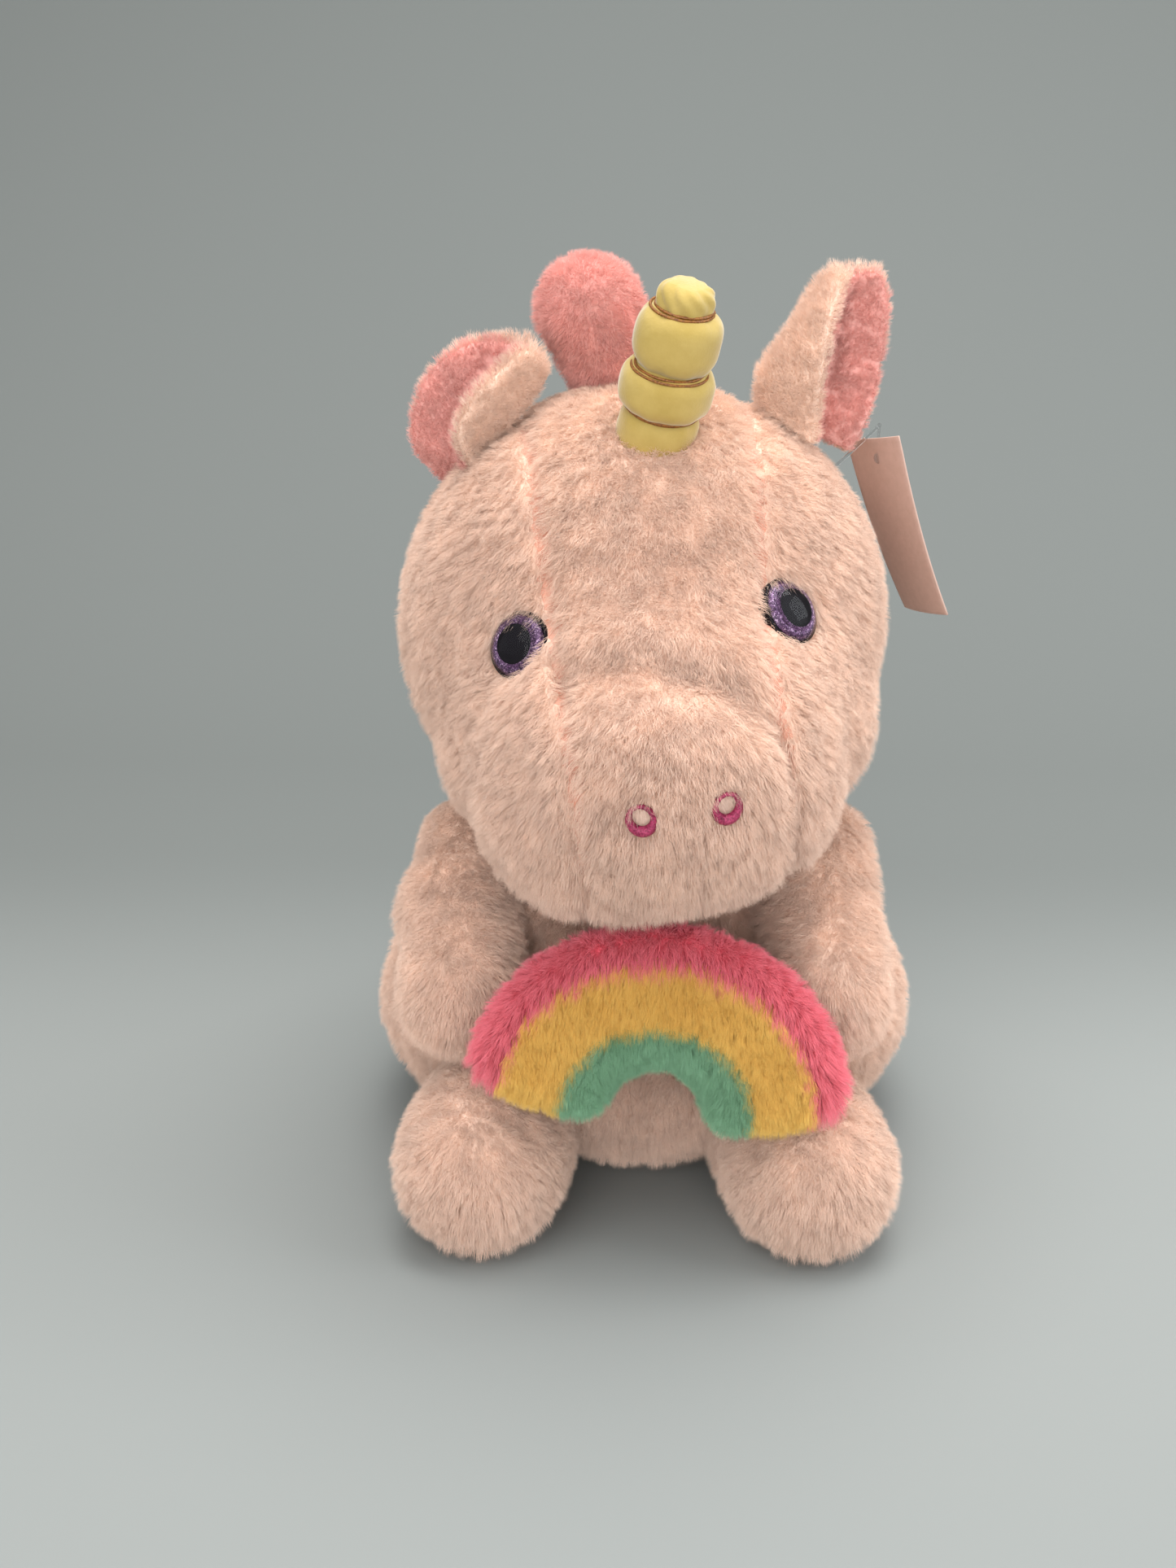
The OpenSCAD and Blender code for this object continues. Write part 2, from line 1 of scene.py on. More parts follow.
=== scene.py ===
"""Sitting plush unicorn that holds a stuffed rainbow, in the CAD's frame: metres, +Z up, the toy faces -Y.

The fabric forms are unions of balls, voxel remeshed, blown up by a short cloth simulation that is held at
the sewn seams, and covered with a pile of hair. Millimetres are used in the named sizes below.
"""

import json
import math

import bmesh
import bpy
import numpy as np
from mathutils import Matrix, Vector
from mathutils.bvhtree import BVHTree

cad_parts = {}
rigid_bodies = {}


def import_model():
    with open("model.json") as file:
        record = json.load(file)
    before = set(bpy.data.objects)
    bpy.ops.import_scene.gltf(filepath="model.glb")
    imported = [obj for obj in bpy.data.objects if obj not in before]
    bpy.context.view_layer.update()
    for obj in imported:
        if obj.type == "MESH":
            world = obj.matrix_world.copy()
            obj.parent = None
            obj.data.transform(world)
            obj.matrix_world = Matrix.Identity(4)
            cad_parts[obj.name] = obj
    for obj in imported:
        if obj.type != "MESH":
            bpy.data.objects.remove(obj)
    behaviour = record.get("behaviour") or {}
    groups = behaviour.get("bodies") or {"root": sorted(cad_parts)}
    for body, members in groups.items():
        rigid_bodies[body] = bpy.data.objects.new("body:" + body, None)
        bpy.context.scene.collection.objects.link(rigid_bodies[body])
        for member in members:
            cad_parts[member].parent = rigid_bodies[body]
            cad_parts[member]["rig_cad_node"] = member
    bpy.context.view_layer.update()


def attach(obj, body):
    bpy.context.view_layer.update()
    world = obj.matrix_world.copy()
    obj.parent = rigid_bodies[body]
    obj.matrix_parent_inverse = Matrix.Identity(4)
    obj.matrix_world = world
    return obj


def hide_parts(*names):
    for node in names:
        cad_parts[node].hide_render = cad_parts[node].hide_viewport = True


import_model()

MM = 0.001
LEFT, RIGHT = 1, -1
SIDE_NAME = {LEFT: "left", RIGHT: "right"}

# ---- places shared with the CAD ----


def at(x, y, z):
    """A point in metres from millimetres."""
    return Vector((x, y, z)) * MM


def move(x, y, z):
    return Matrix.Translation(at(x, y, z))


def turn(degrees, axis):
    return Matrix.Rotation(math.radians(degrees), 4, axis)


SKULL_R = 86
MUZZLE_REACH = 81
GUSSET_HALF_W = 34
CREASE_AT = 94
EYE_R = 11.5
EYE_APART = 44.7
EYE_UP = 11
EYE_FORWARD = 73
EYE_TURN = {LEFT: 46, RIGHT: -39}
EYE_TIP = -27
HEAD = move(-2, 0, 211) @ turn(5, "Z") @ turn(-7, "Y")
MUZZLE = HEAD @ turn(90 + 22, "X")
HORN = move(2.5, -39, 281.5) @ turn(11.5, "Y") @ turn(18, "X")
FORELOCK = move(-10, 14, 294) @ turn(-26, "Y") @ turn(6, "X")
TAIL = move(0, 112, 62) @ turn(-125, "X")
RAINBOW = move(4, -96, 68.5) @ turn(-6, "X")
SHOULDER = {s: at(66 * s, -6, 121) for s in (LEFT, RIGHT)}
HAND = {s: at(65 * s, -60, 88) for s in (LEFT, RIGHT)}
HIP = {s: at(52 * s, -46, 33) for s in (LEFT, RIGHT)}
LEG_SPLAY = {LEFT: 13, RIGHT: 9}
LEG_END = 55
TORSO_BACK = 20


def eye_place(side):
    """+Z looks out of the face at one eye."""
    return (
        HEAD
        @ move(side * EYE_APART, 0, 0)
        @ turn(90, "X")
        @ move(0, EYE_UP, EYE_FORWARD)
        @ turn(EYE_TURN[side], "Y")
        @ turn(EYE_TIP, "X")
    )


# ---- materials ----


def material(name, build):
    """A node material; build gets (nodes, links, principled shader)."""
    made = bpy.data.materials.new(name)
    made.use_nodes = True
    tree = made.node_tree
    shader = next(n for n in tree.nodes if n.type == "BSDF_PRINCIPLED")
    build(tree.nodes, tree.links, shader)
    return made


def noise(nodes, links, scale, detail=3.0, roughness=0.6):
    """Noise in the object's own coordinates, as a value socket."""
    place = nodes.new("ShaderNodeTexCoord")
    tex = nodes.new("ShaderNodeTexNoise")
    tex.inputs["Scale"].default_value = scale
    tex.inputs["Detail"].default_value = detail
    tex.inputs["Roughness"].default_value = roughness
    links.new(place.outputs["Object"], tex.inputs["Vector"])
    return tex.outputs["Fac"]


def ramp(nodes, links, value, stops):
    """A colour ramp over a value socket; stops are (position, colour)."""
    node = nodes.new("ShaderNodeValToRGB")
    while len(node.color_ramp.elements) < len(stops):
        node.color_ramp.elements.new(0.5)
    for element, (position, colour) in zip(node.color_ramp.elements, stops):
        element.position = position
        element.color = (*colour, 1)
    links.new(value, node.inputs["Fac"])
    return node.outputs["Color"]


def bump(nodes, links, shader, height, strength, distance):
    """Small relief in the shading, from a height socket. The distance is in metres."""
    node = nodes.new("ShaderNodeBump")
    node.inputs["Strength"].default_value = strength
    node.inputs["Distance"].default_value = distance
    links.new(height, node.inputs["Height"])
    links.new(node.outputs["Normal"], shader.inputs["Normal"])


def shade(colour, k):
    """A colour made k times as bright."""
    return tuple(min(1.0, c * k) for c in colour)


def pile_backing(name, colour):
    """The cloth under the pile, in the pile's darker tone."""

    def build(nodes, links, shader):
        patches = noise(nodes, links, scale=90)
        colours = ramp(nodes, links, patches, [(0.3, shade(colour, 0.82)), (0.7, shade(colour, 1.04))])
        links.new(colours, shader.inputs["Base Color"])
        shader.inputs["Roughness"].default_value = 0.95
        shader.inputs["Specular IOR Level"].default_value = 0.1
        bump(nodes, links, shader, noise(nodes, links, scale=700), strength=0.5, distance=1.2 * MM)

    return material(name, build)


def pile_hair(name, root, tip):
    """The fibres of the pile: deeper in colour at the root, and varied from tuft to tuft."""

    def build(nodes, links, shader):
        info = nodes.new("ShaderNodeHairInfo")
        along = ramp(nodes, links, info.outputs["Intercept"], [(0.0, root), (0.75, tip)])
        tuft = ramp(nodes, links, info.outputs["Random"], [(0.0, DULL_TUFT), (1.0, (1.0, 1.0, 1.0))])
        mixed = nodes.new("ShaderNodeMixRGB")
        mixed.blend_type = "MULTIPLY"
        mixed.inputs["Fac"].default_value = 1.0
        links.new(along, mixed.inputs["Color1"])
        links.new(tuft, mixed.inputs["Color2"])
        links.new(mixed.outputs["Color"], shader.inputs["Base Color"])
        shader.inputs["Roughness"].default_value = 0.75
        shader.inputs["Specular IOR Level"].default_value = 0.15

    return material(name, build)


FUR = (0.98, 0.72, 0.58)
FUR_ROOT = (0.99, 0.77, 0.64)
FUR_TIP = (1.0, 0.96, 0.90)
# Painted shade: the deeper, warmer tone that the shade in the seams' creases gives the backing cloth
SEAM_SHADE = (0.86, 0.46, 0.34)
DULL_TUFT = (0.88, 0.85, 0.82)
PINK = (0.95, 0.50, 0.44)
PINK_ROOT = (0.96, 0.55, 0.50)
PINK_TIP = (0.99, 0.75, 0.69)
VELVET_TONES = [(0.3, (0.46, 0.325, 0.085)), (0.7, (0.52, 0.375, 0.115))]
# Each band's backing, and its fibres' root and tip
BAND = {
    "pink": ((0.78, 0.12, 0.16), (0.72, 0.11, 0.15), (0.98, 0.27, 0.33)),
    "yellow": ((0.88, 0.46, 0.09), (0.84, 0.42, 0.07), (0.99, 0.68, 0.19)),
    "green": ((0.13, 0.30, 0.17), (0.12, 0.29, 0.16), (0.30, 0.55, 0.35)),
}

fur_cloth = pile_backing("fur_cloth", FUR)
fur_fibre = pile_hair("fur_fibre", FUR_ROOT, FUR_TIP)
seam_shade_cloth = pile_backing("seam_shade_cloth", SEAM_SHADE)
pink_cloth = pile_backing("pink_cloth", PINK)
pink_fibre = pile_hair("pink_fibre", PINK_ROOT, PINK_TIP)
band_cloth = {k: pile_backing(f"rainbow_{k}_cloth", v[0]) for k, v in BAND.items()}
band_fibre = {k: pile_hair(f"rainbow_{k}_fibre", v[1], v[2]) for k, v in BAND.items()}


def velvet(nodes, links, shader):
    """Short yellow nap, soft at grazing angles."""
    colours = ramp(nodes, links, noise(nodes, links, scale=120), VELVET_TONES)
    links.new(colours, shader.inputs["Base Color"])
    shader.inputs["Roughness"].default_value = 0.8
    shader.inputs["Specular IOR Level"].default_value = 0.2
    shader.inputs["Sheen Weight"].default_value = 0.6
    shader.inputs["Sheen Roughness"].default_value = 0.4
    bump(nodes, links, shader, noise(nodes, links, scale=900), strength=0.25, distance=0.6 * MM)


def sewing_thread(dark, light):
    """Thread with its twist, between two tones."""

    def build(nodes, links, shader):
        twist = noise(nodes, links, scale=1500, detail=1.0)
        links.new(ramp(nodes, links, twist, [(0.35, dark), (0.65, light)]), shader.inputs["Base Color"])
        shader.inputs["Roughness"].default_value = 0.45
        bump(nodes, links, shader, twist, strength=0.6, distance=0.4 * MM)

    return build


def black_plastic(nodes, links, shader):
    haze = noise(nodes, links, scale=60)
    links.new(
        ramp(nodes, links, haze, [(0.3, (0.004, 0.003, 0.005)), (0.7, (0.009, 0.007, 0.01))]),
        shader.inputs["Base Color"],
    )
    shader.inputs["Roughness"].default_value = 0.35
    shader.inputs["Specular IOR Level"].default_value = 0.15


def glitter(nodes, links, shader):
    """Purple flakes: small cells, each with its own tone; the palest ones are painted glints, flakes shown as
    if they catch the light.
    """
    place = nodes.new("ShaderNodeTexCoord")
    cells = nodes.new("ShaderNodeTexVoronoi")
    cells.inputs["Scale"].default_value = 2600
    links.new(place.outputs["Object"], cells.inputs["Vector"])
    split = nodes.new("ShaderNodeSeparateColor")
    links.new(cells.outputs["Color"], split.inputs["Color"])
    # The dark to mid stops are the flakes' own tones, and the pale top stop is a painted glint
    stops = [
        (0.0, (0.03, 0.012, 0.035)),
        (0.5, (0.12, 0.05, 0.13)),
        (0.85, (0.24, 0.12, 0.26)),
        (1.0, (0.70, 0.50, 0.68)),
    ]
    links.new(ramp(nodes, links, split.outputs["Red"], stops), shader.inputs["Base Color"])
    shader.inputs["Roughness"].default_value = 0.35
    shader.inputs["Metallic"].default_value = 0.35


def clear_plastic(nodes, links, shader):
    smear = noise(nodes, links, scale=40)
    rough = nodes.new("ShaderNodeMapRange")
    rough.inputs["To Min"].default_value = 0.01
    rough.inputs["To Max"].default_value = 0.06
    links.new(smear, rough.inputs["Value"])
    links.new(rough.outputs["Result"], shader.inputs["Roughness"])
    shader.inputs["Transmission Weight"].default_value = 1.0
    shader.inputs["IOR"].default_value = 1.18


def card(nodes, links, shader):
    grain = noise(nodes, links, scale=400)
    links.new(
        ramp(nodes, links, grain, [(0.3, (0.55, 0.36, 0.29)), (0.7, (0.60, 0.40, 0.33))]),
        shader.inputs["Base Color"],
    )
    shader.inputs["Roughness"].default_value = 0.55
    bump(nodes, links, shader, grain, strength=0.1, distance=0.4 * MM)


def satin(nodes, links, shader):
    weave = noise(nodes, links, scale=900)
    links.new(
        ramp(nodes, links, weave, [(0.3, (0.72, 0.71, 0.68)), (0.7, (0.86, 0.85, 0.82))]),
        shader.inputs["Base Color"],
    )
    shader.inputs["Roughness"].default_value = 0.4
    bump(nodes, links, shader, weave, strength=0.3, distance=0.3 * MM)


horn_velvet = material("horn_velvet", velvet)
brown_thread = material("brown_thread", sewing_thread((0.16, 0.05, 0.006), (0.34, 0.13, 0.02)))
magenta_thread = material("magenta_thread", sewing_thread((0.22, 0.01, 0.05), (0.48, 0.05, 0.14)))
eye_black = material("eye_black", black_plastic)
eye_glitter = material("eye_glitter", glitter)
eye_clear = material("eye_clear", clear_plastic)
tag_card = material("tag_card", card)
label_satin = material("label_satin", satin)

# ---- building soft forms ----


def add_materials(obj, *materials):
    for m in materials:
        obj.data.materials.append(m)


def shade_smooth(obj):
    obj.data.polygons.foreach_set("use_smooth", [True] * len(obj.data.polygons))


def new_object(name, mesh, *materials):
    made = bpy.data.objects.new(name, mesh)
    bpy.context.scene.collection.objects.link(made)
    add_materials(made, *materials)
    return made


def mesh_of(name, points, faces):
    mesh = bpy.data.meshes.new(name)
    mesh.from_pydata([tuple(p) for p in points], [], faces)
    mesh.update()
    return mesh


def slab_faces(rows, columns, turned_over=False):
    """Faces of a closed slab between two grids of points, the first grid's points before the second's."""
    width = columns + 1
    count = (rows + 1) * width
    faces = []
    for j in range(rows):
        for i in range(columns):
            a, b = j * width + i, j * width + i + 1
            c, d = b + width, a + width
            faces.append([a, d, c, b])
            faces.append([a + count, b + count, c + count, d + count])
    edge = [j * width for j in range(rows + 1)]
    edge += [rows * width + i for i in range(1, width)]
    edge += [j * width + columns for j in range(rows - 1, -1, -1)]
    edge += [i for i in range(columns - 1, 0, -1)]
    for a, b in zip(edge, edge[1:] + edge[:1]):
        faces.append([a, a + count, b + count, b])
    if turned_over:
        return [face[:1] + face[:0:-1] for face in faces]
    return faces


def coordinates(mesh):
    flat = np.zeros(len(mesh.vertices) * 3)
    mesh.vertices.foreach_get("co", flat)
    return flat.reshape(-1, 3)


def put_coordinates(mesh, points):
    mesh.vertices.foreach_set("co", np.asarray(points, float).ravel())
    mesh.update()


def normals(mesh):
    return np.array([v.normal for v in mesh.vertices], float)


def baked(obj):
    """Applies the object's modifiers."""
    graph = bpy.context.evaluated_depsgraph_get()
    result = bpy.data.meshes.new_from_object(obj.evaluated_get(graph))
    old = obj.data
    obj.modifiers.clear()
    obj.data = result
    bpy.data.meshes.remove(old)


def add_ball(bm, frame_at, radii):
    """A ball of the given radii, in millimetres, in a frame."""
    sized = frame_at @ Matrix.Diagonal((*[r * MM for r in radii], 1))
    bmesh.ops.create_icosphere(bm, subdivisions=4, radius=1, matrix=sized)


def add_bulb(bm, frame_at, r1, r2, length, balls=7):
    """Balls along +Z, from r1 to r2."""
    for i in range(balls):
        t = i / (balls - 1)
        r = r1 + (r2 - r1) * t
        add_ball(bm, frame_at @ move(0, 0, length * t), (r, r, r))


PUSH_BACK = 1.03


def smooth(mesh, rounds, strength=0.5):
    """Evens the mesh out, and keeps its volume by pushing back after each round."""
    ends = np.zeros(len(mesh.edges) * 2, int)
    mesh.edges.foreach_get("vertices", ends)
    a, b = ends.reshape(-1, 2).T
    points = coordinates(mesh)
    count = len(points)
    near = np.bincount(a, minlength=count) + np.bincount(b, minlength=count)
    near = np.maximum(near, 1)[:, None]
    for _ in range(rounds):
        for pull in (strength, -strength * PUSH_BACK):
            total = np.stack(
                [
                    np.bincount(a, points[b, i], count) + np.bincount(b, points[a, i], count)
                    for i in range(3)
                ],
                axis=1,
            )
            points = points + pull * (total / near - points)
    put_coordinates(mesh, points)


def remeshed(obj, voxel):
    """Replaces the mesh by an even closed one, with faces of about voxel millimetres."""
    grid = obj.modifiers.new("remesh", "REMESH")
    grid.mode = "VOXEL"
    grid.voxel_size = voxel * MM
    baked(obj)


def soft_form(name, build, voxel, rounds):
    """A closed mesh: what build adds to a bmesh, remeshed and evened out."""
    bm = bmesh.new()
    build(bm)
    mesh = bpy.data.meshes.new(name)
    bm.to_mesh(mesh)
    bm.free()
    obj = new_object(name, mesh)
    remeshed(obj, voxel)
    smooth(obj.data, rounds)
    return obj


def local(points, frame_at):
    """Points in a frame's own millimetres."""
    inverse = np.array(frame_at.inverted())
    return (points @ inverse[:3, :3].T + inverse[:3, 3]) / MM


CLOTH_FRAMES = 20
# A distance that counts as away from every seam
FAR = 99.0


def no_seam(points):
    return np.full(len(points), FAR)


def stuffed(obj, seam_distance, pressure, cap, start_in=2.0, hold=3.0):
    """Blows the fabric up with a short cloth simulation that is held along the seams.

    seam_distance takes points and gives each one's distance from the nearest seam. The surface starts
    start_in under its place and moves out by at most cap more. Distances are in millimetres."""
    scene = bpy.context.scene
    put_coordinates(obj.data, coordinates(obj.data) - normals(obj.data) * start_in * MM)
    start = coordinates(obj.data)
    sewn = obj.vertex_groups.new(name="sewn")
    held = np.nonzero(seam_distance(start) < hold)[0]
    sewn.add(held.tolist(), 1.0, "REPLACE")
    cloth = obj.modifiers.new("stuffing", "CLOTH")
    cloth.settings.quality = 4
    cloth.settings.use_pressure = True
    cloth.settings.uniform_pressure_force = pressure
    cloth.settings.effector_weights.gravity = 0
    cloth.settings.tension_stiffness = 12
    cloth.settings.compression_stiffness = 12
    cloth.settings.shear_stiffness = 6
    cloth.settings.bending_stiffness = 0.6
    cloth.settings.vertex_group_mass = "sewn"
    cloth.collision_settings.use_collision = False
    cloth.point_cache.frame_start = 1
    cloth.point_cache.frame_end = CLOTH_FRAMES
    for number in range(1, CLOTH_FRAMES + 1):
        scene.frame_set(number)
    blown = coordinates(obj.evaluated_get(bpy.context.evaluated_depsgraph_get()).data)
    obj.modifiers.clear()
    obj.vertex_groups.clear()
    scene.frame_set(1)
    moved = blown - start
    size = np.linalg.norm(moved, axis=1, keepdims=True)
    moved *= np.minimum(1, (start_in + cap) * MM / np.maximum(size, 1e-9))
    put_coordinates(obj.data, start + moved)
    smooth(obj.data, 2)


def subdivided(obj):
    fine = obj.modifiers.new("subdivision", "SUBSURF")
    fine.levels = fine.render_levels = 1
    baked(obj)
    shade_smooth(obj)


def press_in(obj, distance, depth, width):
    """Pushes the surface in along its normal where distance, in millimetres, is small."""
    points = coordinates(obj.data)
    d = distance(points)
    push = depth * MM * np.exp(-((d / width) ** 2))
    put_coordinates(obj.data, points - normals(obj.data) * push[:, None])


def paint_seam_shade(obj, distance, width):
    """The drawn-in cloth along the seams, where the backing shows, painted in a deeper, warmer tone that
    stands for the shade in the seam's crease. distance takes points.
    """
    obj.data.materials.append(seam_shade_cloth)
    last = len(obj.data.materials) - 1
    centres = np.array([p.center for p in obj.data.polygons])
    which = np.where(distance(centres) < width, last, 0)
    obj.data.polygons.foreach_set("material_index", which.astype(int))
    obj.data.update()


RAY_START = 80


def surface_at(obj, frame_at):
    """The frame moved along its Z axis to where that axis meets the object's surface."""
    tree = BVHTree.FromObject(obj, bpy.context.evaluated_depsgraph_get())
    out = (frame_at.to_3x3() @ Vector((0, 0, 1))).normalized()
    far = frame_at.translation + out * RAY_START * MM
    hit = tree.ray_cast(far, -out)[0]
    return Matrix.Translation(hit - frame_at.translation) @ frame_at


# ---- pile ----


PILE_SPEED = 0.25
FIBRES_PER_CM2 = 40
FIBRE_THICK = 0.15
CHILDREN = 12
UPRIGHT = 0.75
WILD = 0.25
DENSITY_STEPS = 10


def pile(obj, name, slot_index, amount, length, lie, density, seed):
    """Covers the surface with fibres. amount is parent fibres, lie the way they're combed, length in
    millimetres, and density an array of one weight a vertex, or None for an even pile."""
    speed = PILE_SPEED * length * MM
    layer = obj.modifiers.new(name, "PARTICLE_SYSTEM")
    system = layer.particle_system
    system.seed = seed
    hair = system.settings
    hair.type = "HAIR"
    hair.use_advanced_hair = True
    hair.count = amount
    hair.emit_from = "FACE"
    hair.use_emit_random = True
    hair.use_even_distribution = True
    hair.hair_step = 4
    hair.display_step = 3
    hair.render_step = 2
    hair.hair_length = length * MM
    hair.normal_factor = speed * UPRIGHT
    hair.object_align_factor = [v * speed for v in lie]
    hair.factor_random = speed * WILD
    hair.child_type = "INTERPOLATED"
    hair.rendered_child_count = CHILDREN
    hair.child_percent = 0
    hair.clump_factor = 0.4
    hair.clump_shape = 0.2
    hair.child_length = 1.0
    hair.roughness_1 = 0.0010
    hair.roughness_1_size = 0.01
    hair.roughness_endpoint = 0.0014
    hair.roughness_end_shape = 1.0
    hair.roughness_2 = 0.0008
    hair.roughness_2_size = 0.01
    hair.child_parting_factor = 0.0
    hair.root_radius = 1.0
    hair.tip_radius = 0.15
    hair.radius_scale = FIBRE_THICK * MM
    hair.material = slot_index
    if density is not None:
        group = obj.vertex_groups.new(name=name)
        levels = np.round(np.clip(density, 0, 1) * DENSITY_STEPS).astype(int)
        for level in range(1, DENSITY_STEPS + 1):
            chosen = np.nonzero(levels == level)[0]
            if len(chosen):
                group.add(chosen.tolist(), level / DENSITY_STEPS, "REPLACE")
        system.vertex_group_density = name


def area_cm2(obj):
    return sum(p.area for p in obj.data.polygons) * 1e4


def fur(obj, seed, lie=(0, -0.1, -0.55), length=7.5, density=None, fibre_index=1):
    """Pile at the usual density. It's combed down and a little forwards unless lie says otherwise."""
    amount = int(area_cm2(obj) * FIBRES_PER_CM2)
    pile(obj, f"pile_{fibre_index}", fibre_index, amount, length, lie, density, seed)


# ---- head ----


# Centre and radii of the balls that make up the head: skull, bridge, muzzle, snout, chin and cheeks
HEAD_BALLS = (
    ((0, 0, 0), (SKULL_R, 84, 83)),
    ((-1, -38, -14), (70, 60, 64)),
    ((-3, -62, -26), (61, 56, 56)),
    ((-3, -76, -31), (54, 49, 49)),
    ((-16, -68, -41), (50, 46, 44)),
    ((10, -70, -40), (46, 44, 42)),
    ((25, -34, -30), (50, 48, 44)),
    ((-27, -34, -30), (50, 48, 44)),
)


def head_balls(bm):
    for centre, radii in HEAD_BALLS:
        add_ball(bm, HEAD @ move(*centre), radii)


def gusset_seam(points):
    """Distance from the two long seams and the crease across the nose."""
    p = local(points, HEAD)
    front = p[:, 1] < 60
    left_line = GUSSET_HALF_W + 0.15 * np.maximum(p[:, 2] - 10, 0)
    sides = np.minimum(np.abs(p[:, 0] - left_line), np.abs(p[:, 0] + GUSSET_HALF_W - 1))
    sides = np.where(front, sides, FAR)
    along = local(points, MUZZLE)
    line = CREASE_AT + 0.29 * p[:, 0]
    crease = np.where(np.abs(p[:, 0]) < GUSSET_HALF_W + 2, np.abs(along[:, 2] - line), FAR)
    return sides, crease


def head_seams(points):
    return gusset_seam(points)[0]


def nose_crease(points):
    return gusset_seam(points)[1]


def gap_from(points, frames):
    """Distance from the nearest of the frames' origins."""
    return np.min([np.linalg.norm(local(points, f), axis=1) for f in frames], axis=0)


def from_eyes(points):
    return gap_from(points, [eye_place(s) for s in (LEFT, RIGHT)])


head = soft_form("head_fur", head_balls, voxel=5.0, rounds=30)
stuffed(head, head_seams, pressure=3.0, cap=1.5)
subdivided(head)
press_in(head, head_seams, depth=2.8, width=2.4)
press_in(head, nose_crease, depth=4.5, width=8.0)
press_in(head, from_eyes, depth=2.5, width=14.0)
add_materials(head, fur_cloth, fur_fibre)
paint_seam_shade(head, head_seams, width=2.2)
EYE = {s: surface_at(head, eye_place(s)) for s in (LEFT, RIGHT)}

NOSTRIL_ACROSS = {LEFT: 15.0, RIGHT: 17.0}
NOSTRIL_UP = 15.5
NOSTRIL_OUT = 45


def nostril_place(side):
    """+Z looks out of the muzzle at one nostril."""
    muzzle_end = MUZZLE @ move(0, 0, MUZZLE_REACH)
    aim_out = muzzle_end @ turn(side * NOSTRIL_ACROSS[side], "Y") @ turn(-NOSTRIL_UP, "X")
    return surface_at(head, aim_out @ move(0, 0, NOSTRIL_OUT))


NOSTRIL = {s: nostril_place(s) for s in (LEFT, RIGHT)}


def head_density(points):
    """The pile's density: none at the eyes and nostrils, and next to none in the seams."""
    eyes = np.clip((gap_from(points, EYE.values()) - EYE_R + 0.8) / 2.0, 0, 1)
    seams = np.clip((head_seams(points) - 1.2) / 2.6, 0.03, 1)
    nostrils = np.clip((gap_from(points, NOSTRIL.values()) - 5.2) / 2.0, 0, 1)
    return eyes * seams * nostrils


fur(head, density=head_density(coordinates(head.data)), seed=3)
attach(head, "head")
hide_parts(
    "forehead_gusset",
    "nose_gusset",
    "chin_gusset",
    "head_side_left",
    "head_side_right",
    "head_stuffing",
)

# ---- face ----


def turned(name, outline, frame_at, mat, steps=64):
    """A turned solid: an outline of (radius, height) in millimetres, about a frame's Z axis."""
    points, faces, rings = [], [], []
    for r, z in outline:
        if r < 1e-6:
            points.append(frame_at @ at(0, 0, z))
            rings.append([len(points) - 1] * steps)
            continue
        start = len(points)
        for i in range(steps):
            a = 2 * math.pi * i / steps
            points.append(frame_at @ at(r * math.cos(a), r * math.sin(a), z))
        rings.append(list(range(start, start + steps)))
    for low, high in zip(rings, rings[1:]):
        for i in range(steps):
            j = (i + 1) % steps
            corners = [low[i], low[j], high[j], high[i]]
            faces.append([c for k, c in enumerate(corners) if c not in corners[:k]])
    obj = new_object(name, mesh_of(name, points, faces), mat)
    shade_smooth(obj)
    return obj


def dome(r, height, base, steps=14):
    """Outline of a dome of base radius r, from its rim to its top."""
    ball = (r * r + height * height) / (2 * height)
    half = math.asin(r / ball)
    angles = [half * (1 - i / steps) for i in range(steps + 1)]
    return [(ball * math.sin(a), base + ball * math.cos(a) - ball + height) for a in angles]


PUPIL_R = 0.7 * EYE_R
IRIS_R = 0.92 * EYE_R
EYE_LIFT = 0.6
STEM_R = 2.4
STEM_END = -12
EYE_BACK = -2.6
RIM_TOP = 1.6
IRIS_SEAT = 0.2


def build_eye(side):
    """A safety eye: black base with its stem, glitter ring, pupil and clear lens."""
    name = SIDE_NAME[side]
    place = EYE[side] @ move(0, 0, EYE_LIFT)
    rim = [(0, STEM_END), (STEM_R, STEM_END), (STEM_R, EYE_BACK)]
    rim += [(EYE_R - 0.4, EYE_BACK), (EYE_R, EYE_BACK + 0.4), (EYE_R, RIM_TOP - 0.4)]
    rim += [(EYE_R - 0.3, RIM_TOP), (IRIS_R, RIM_TOP), (IRIS_R - 0.2, IRIS_SEAT), (0, IRIS_SEAT)]
    base = turned(f"eye_{name}", rim, place, eye_black)
    ring = [(PUPIL_R - 1.5, 0.3), (IRIS_R - 0.3, 0.3), (IRIS_R - 0.3, 1.0)]
    ring += [((IRIS_R + PUPIL_R) / 2, 2.6), (PUPIL_R - 1.5, 3.2)]
    iris = turned(f"iris_{name}", ring + ring[:1], place, eye_glitter)
    pupil = turned(f"pupil_{name}", [(0, 0.3), (PUPIL_R, 0.3)] + dome(PUPIL_R, 1.6, 2.6), place, eye_black)
    lens = turned(
        f"eye_lens_{name}",
        [(0, 1.2), (IRIS_R, 1.2)] + dome(EYE_R - 0.2, 5.2, 1.4),
        place,
        eye_clear,
    )
    for part in (base, iris, pupil, lens):
        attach(part, "head")
    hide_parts(f"eye_{name}", f"eye_washer_{name}")
    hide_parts(f"iris_{name}")
    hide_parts(f"eye_lens_{name}")


for side in (LEFT, RIGHT):
    build_eye(side)


ANY_WAY = Vector((0.3, 0.5, 0.81))
TUBE_END = 0.55


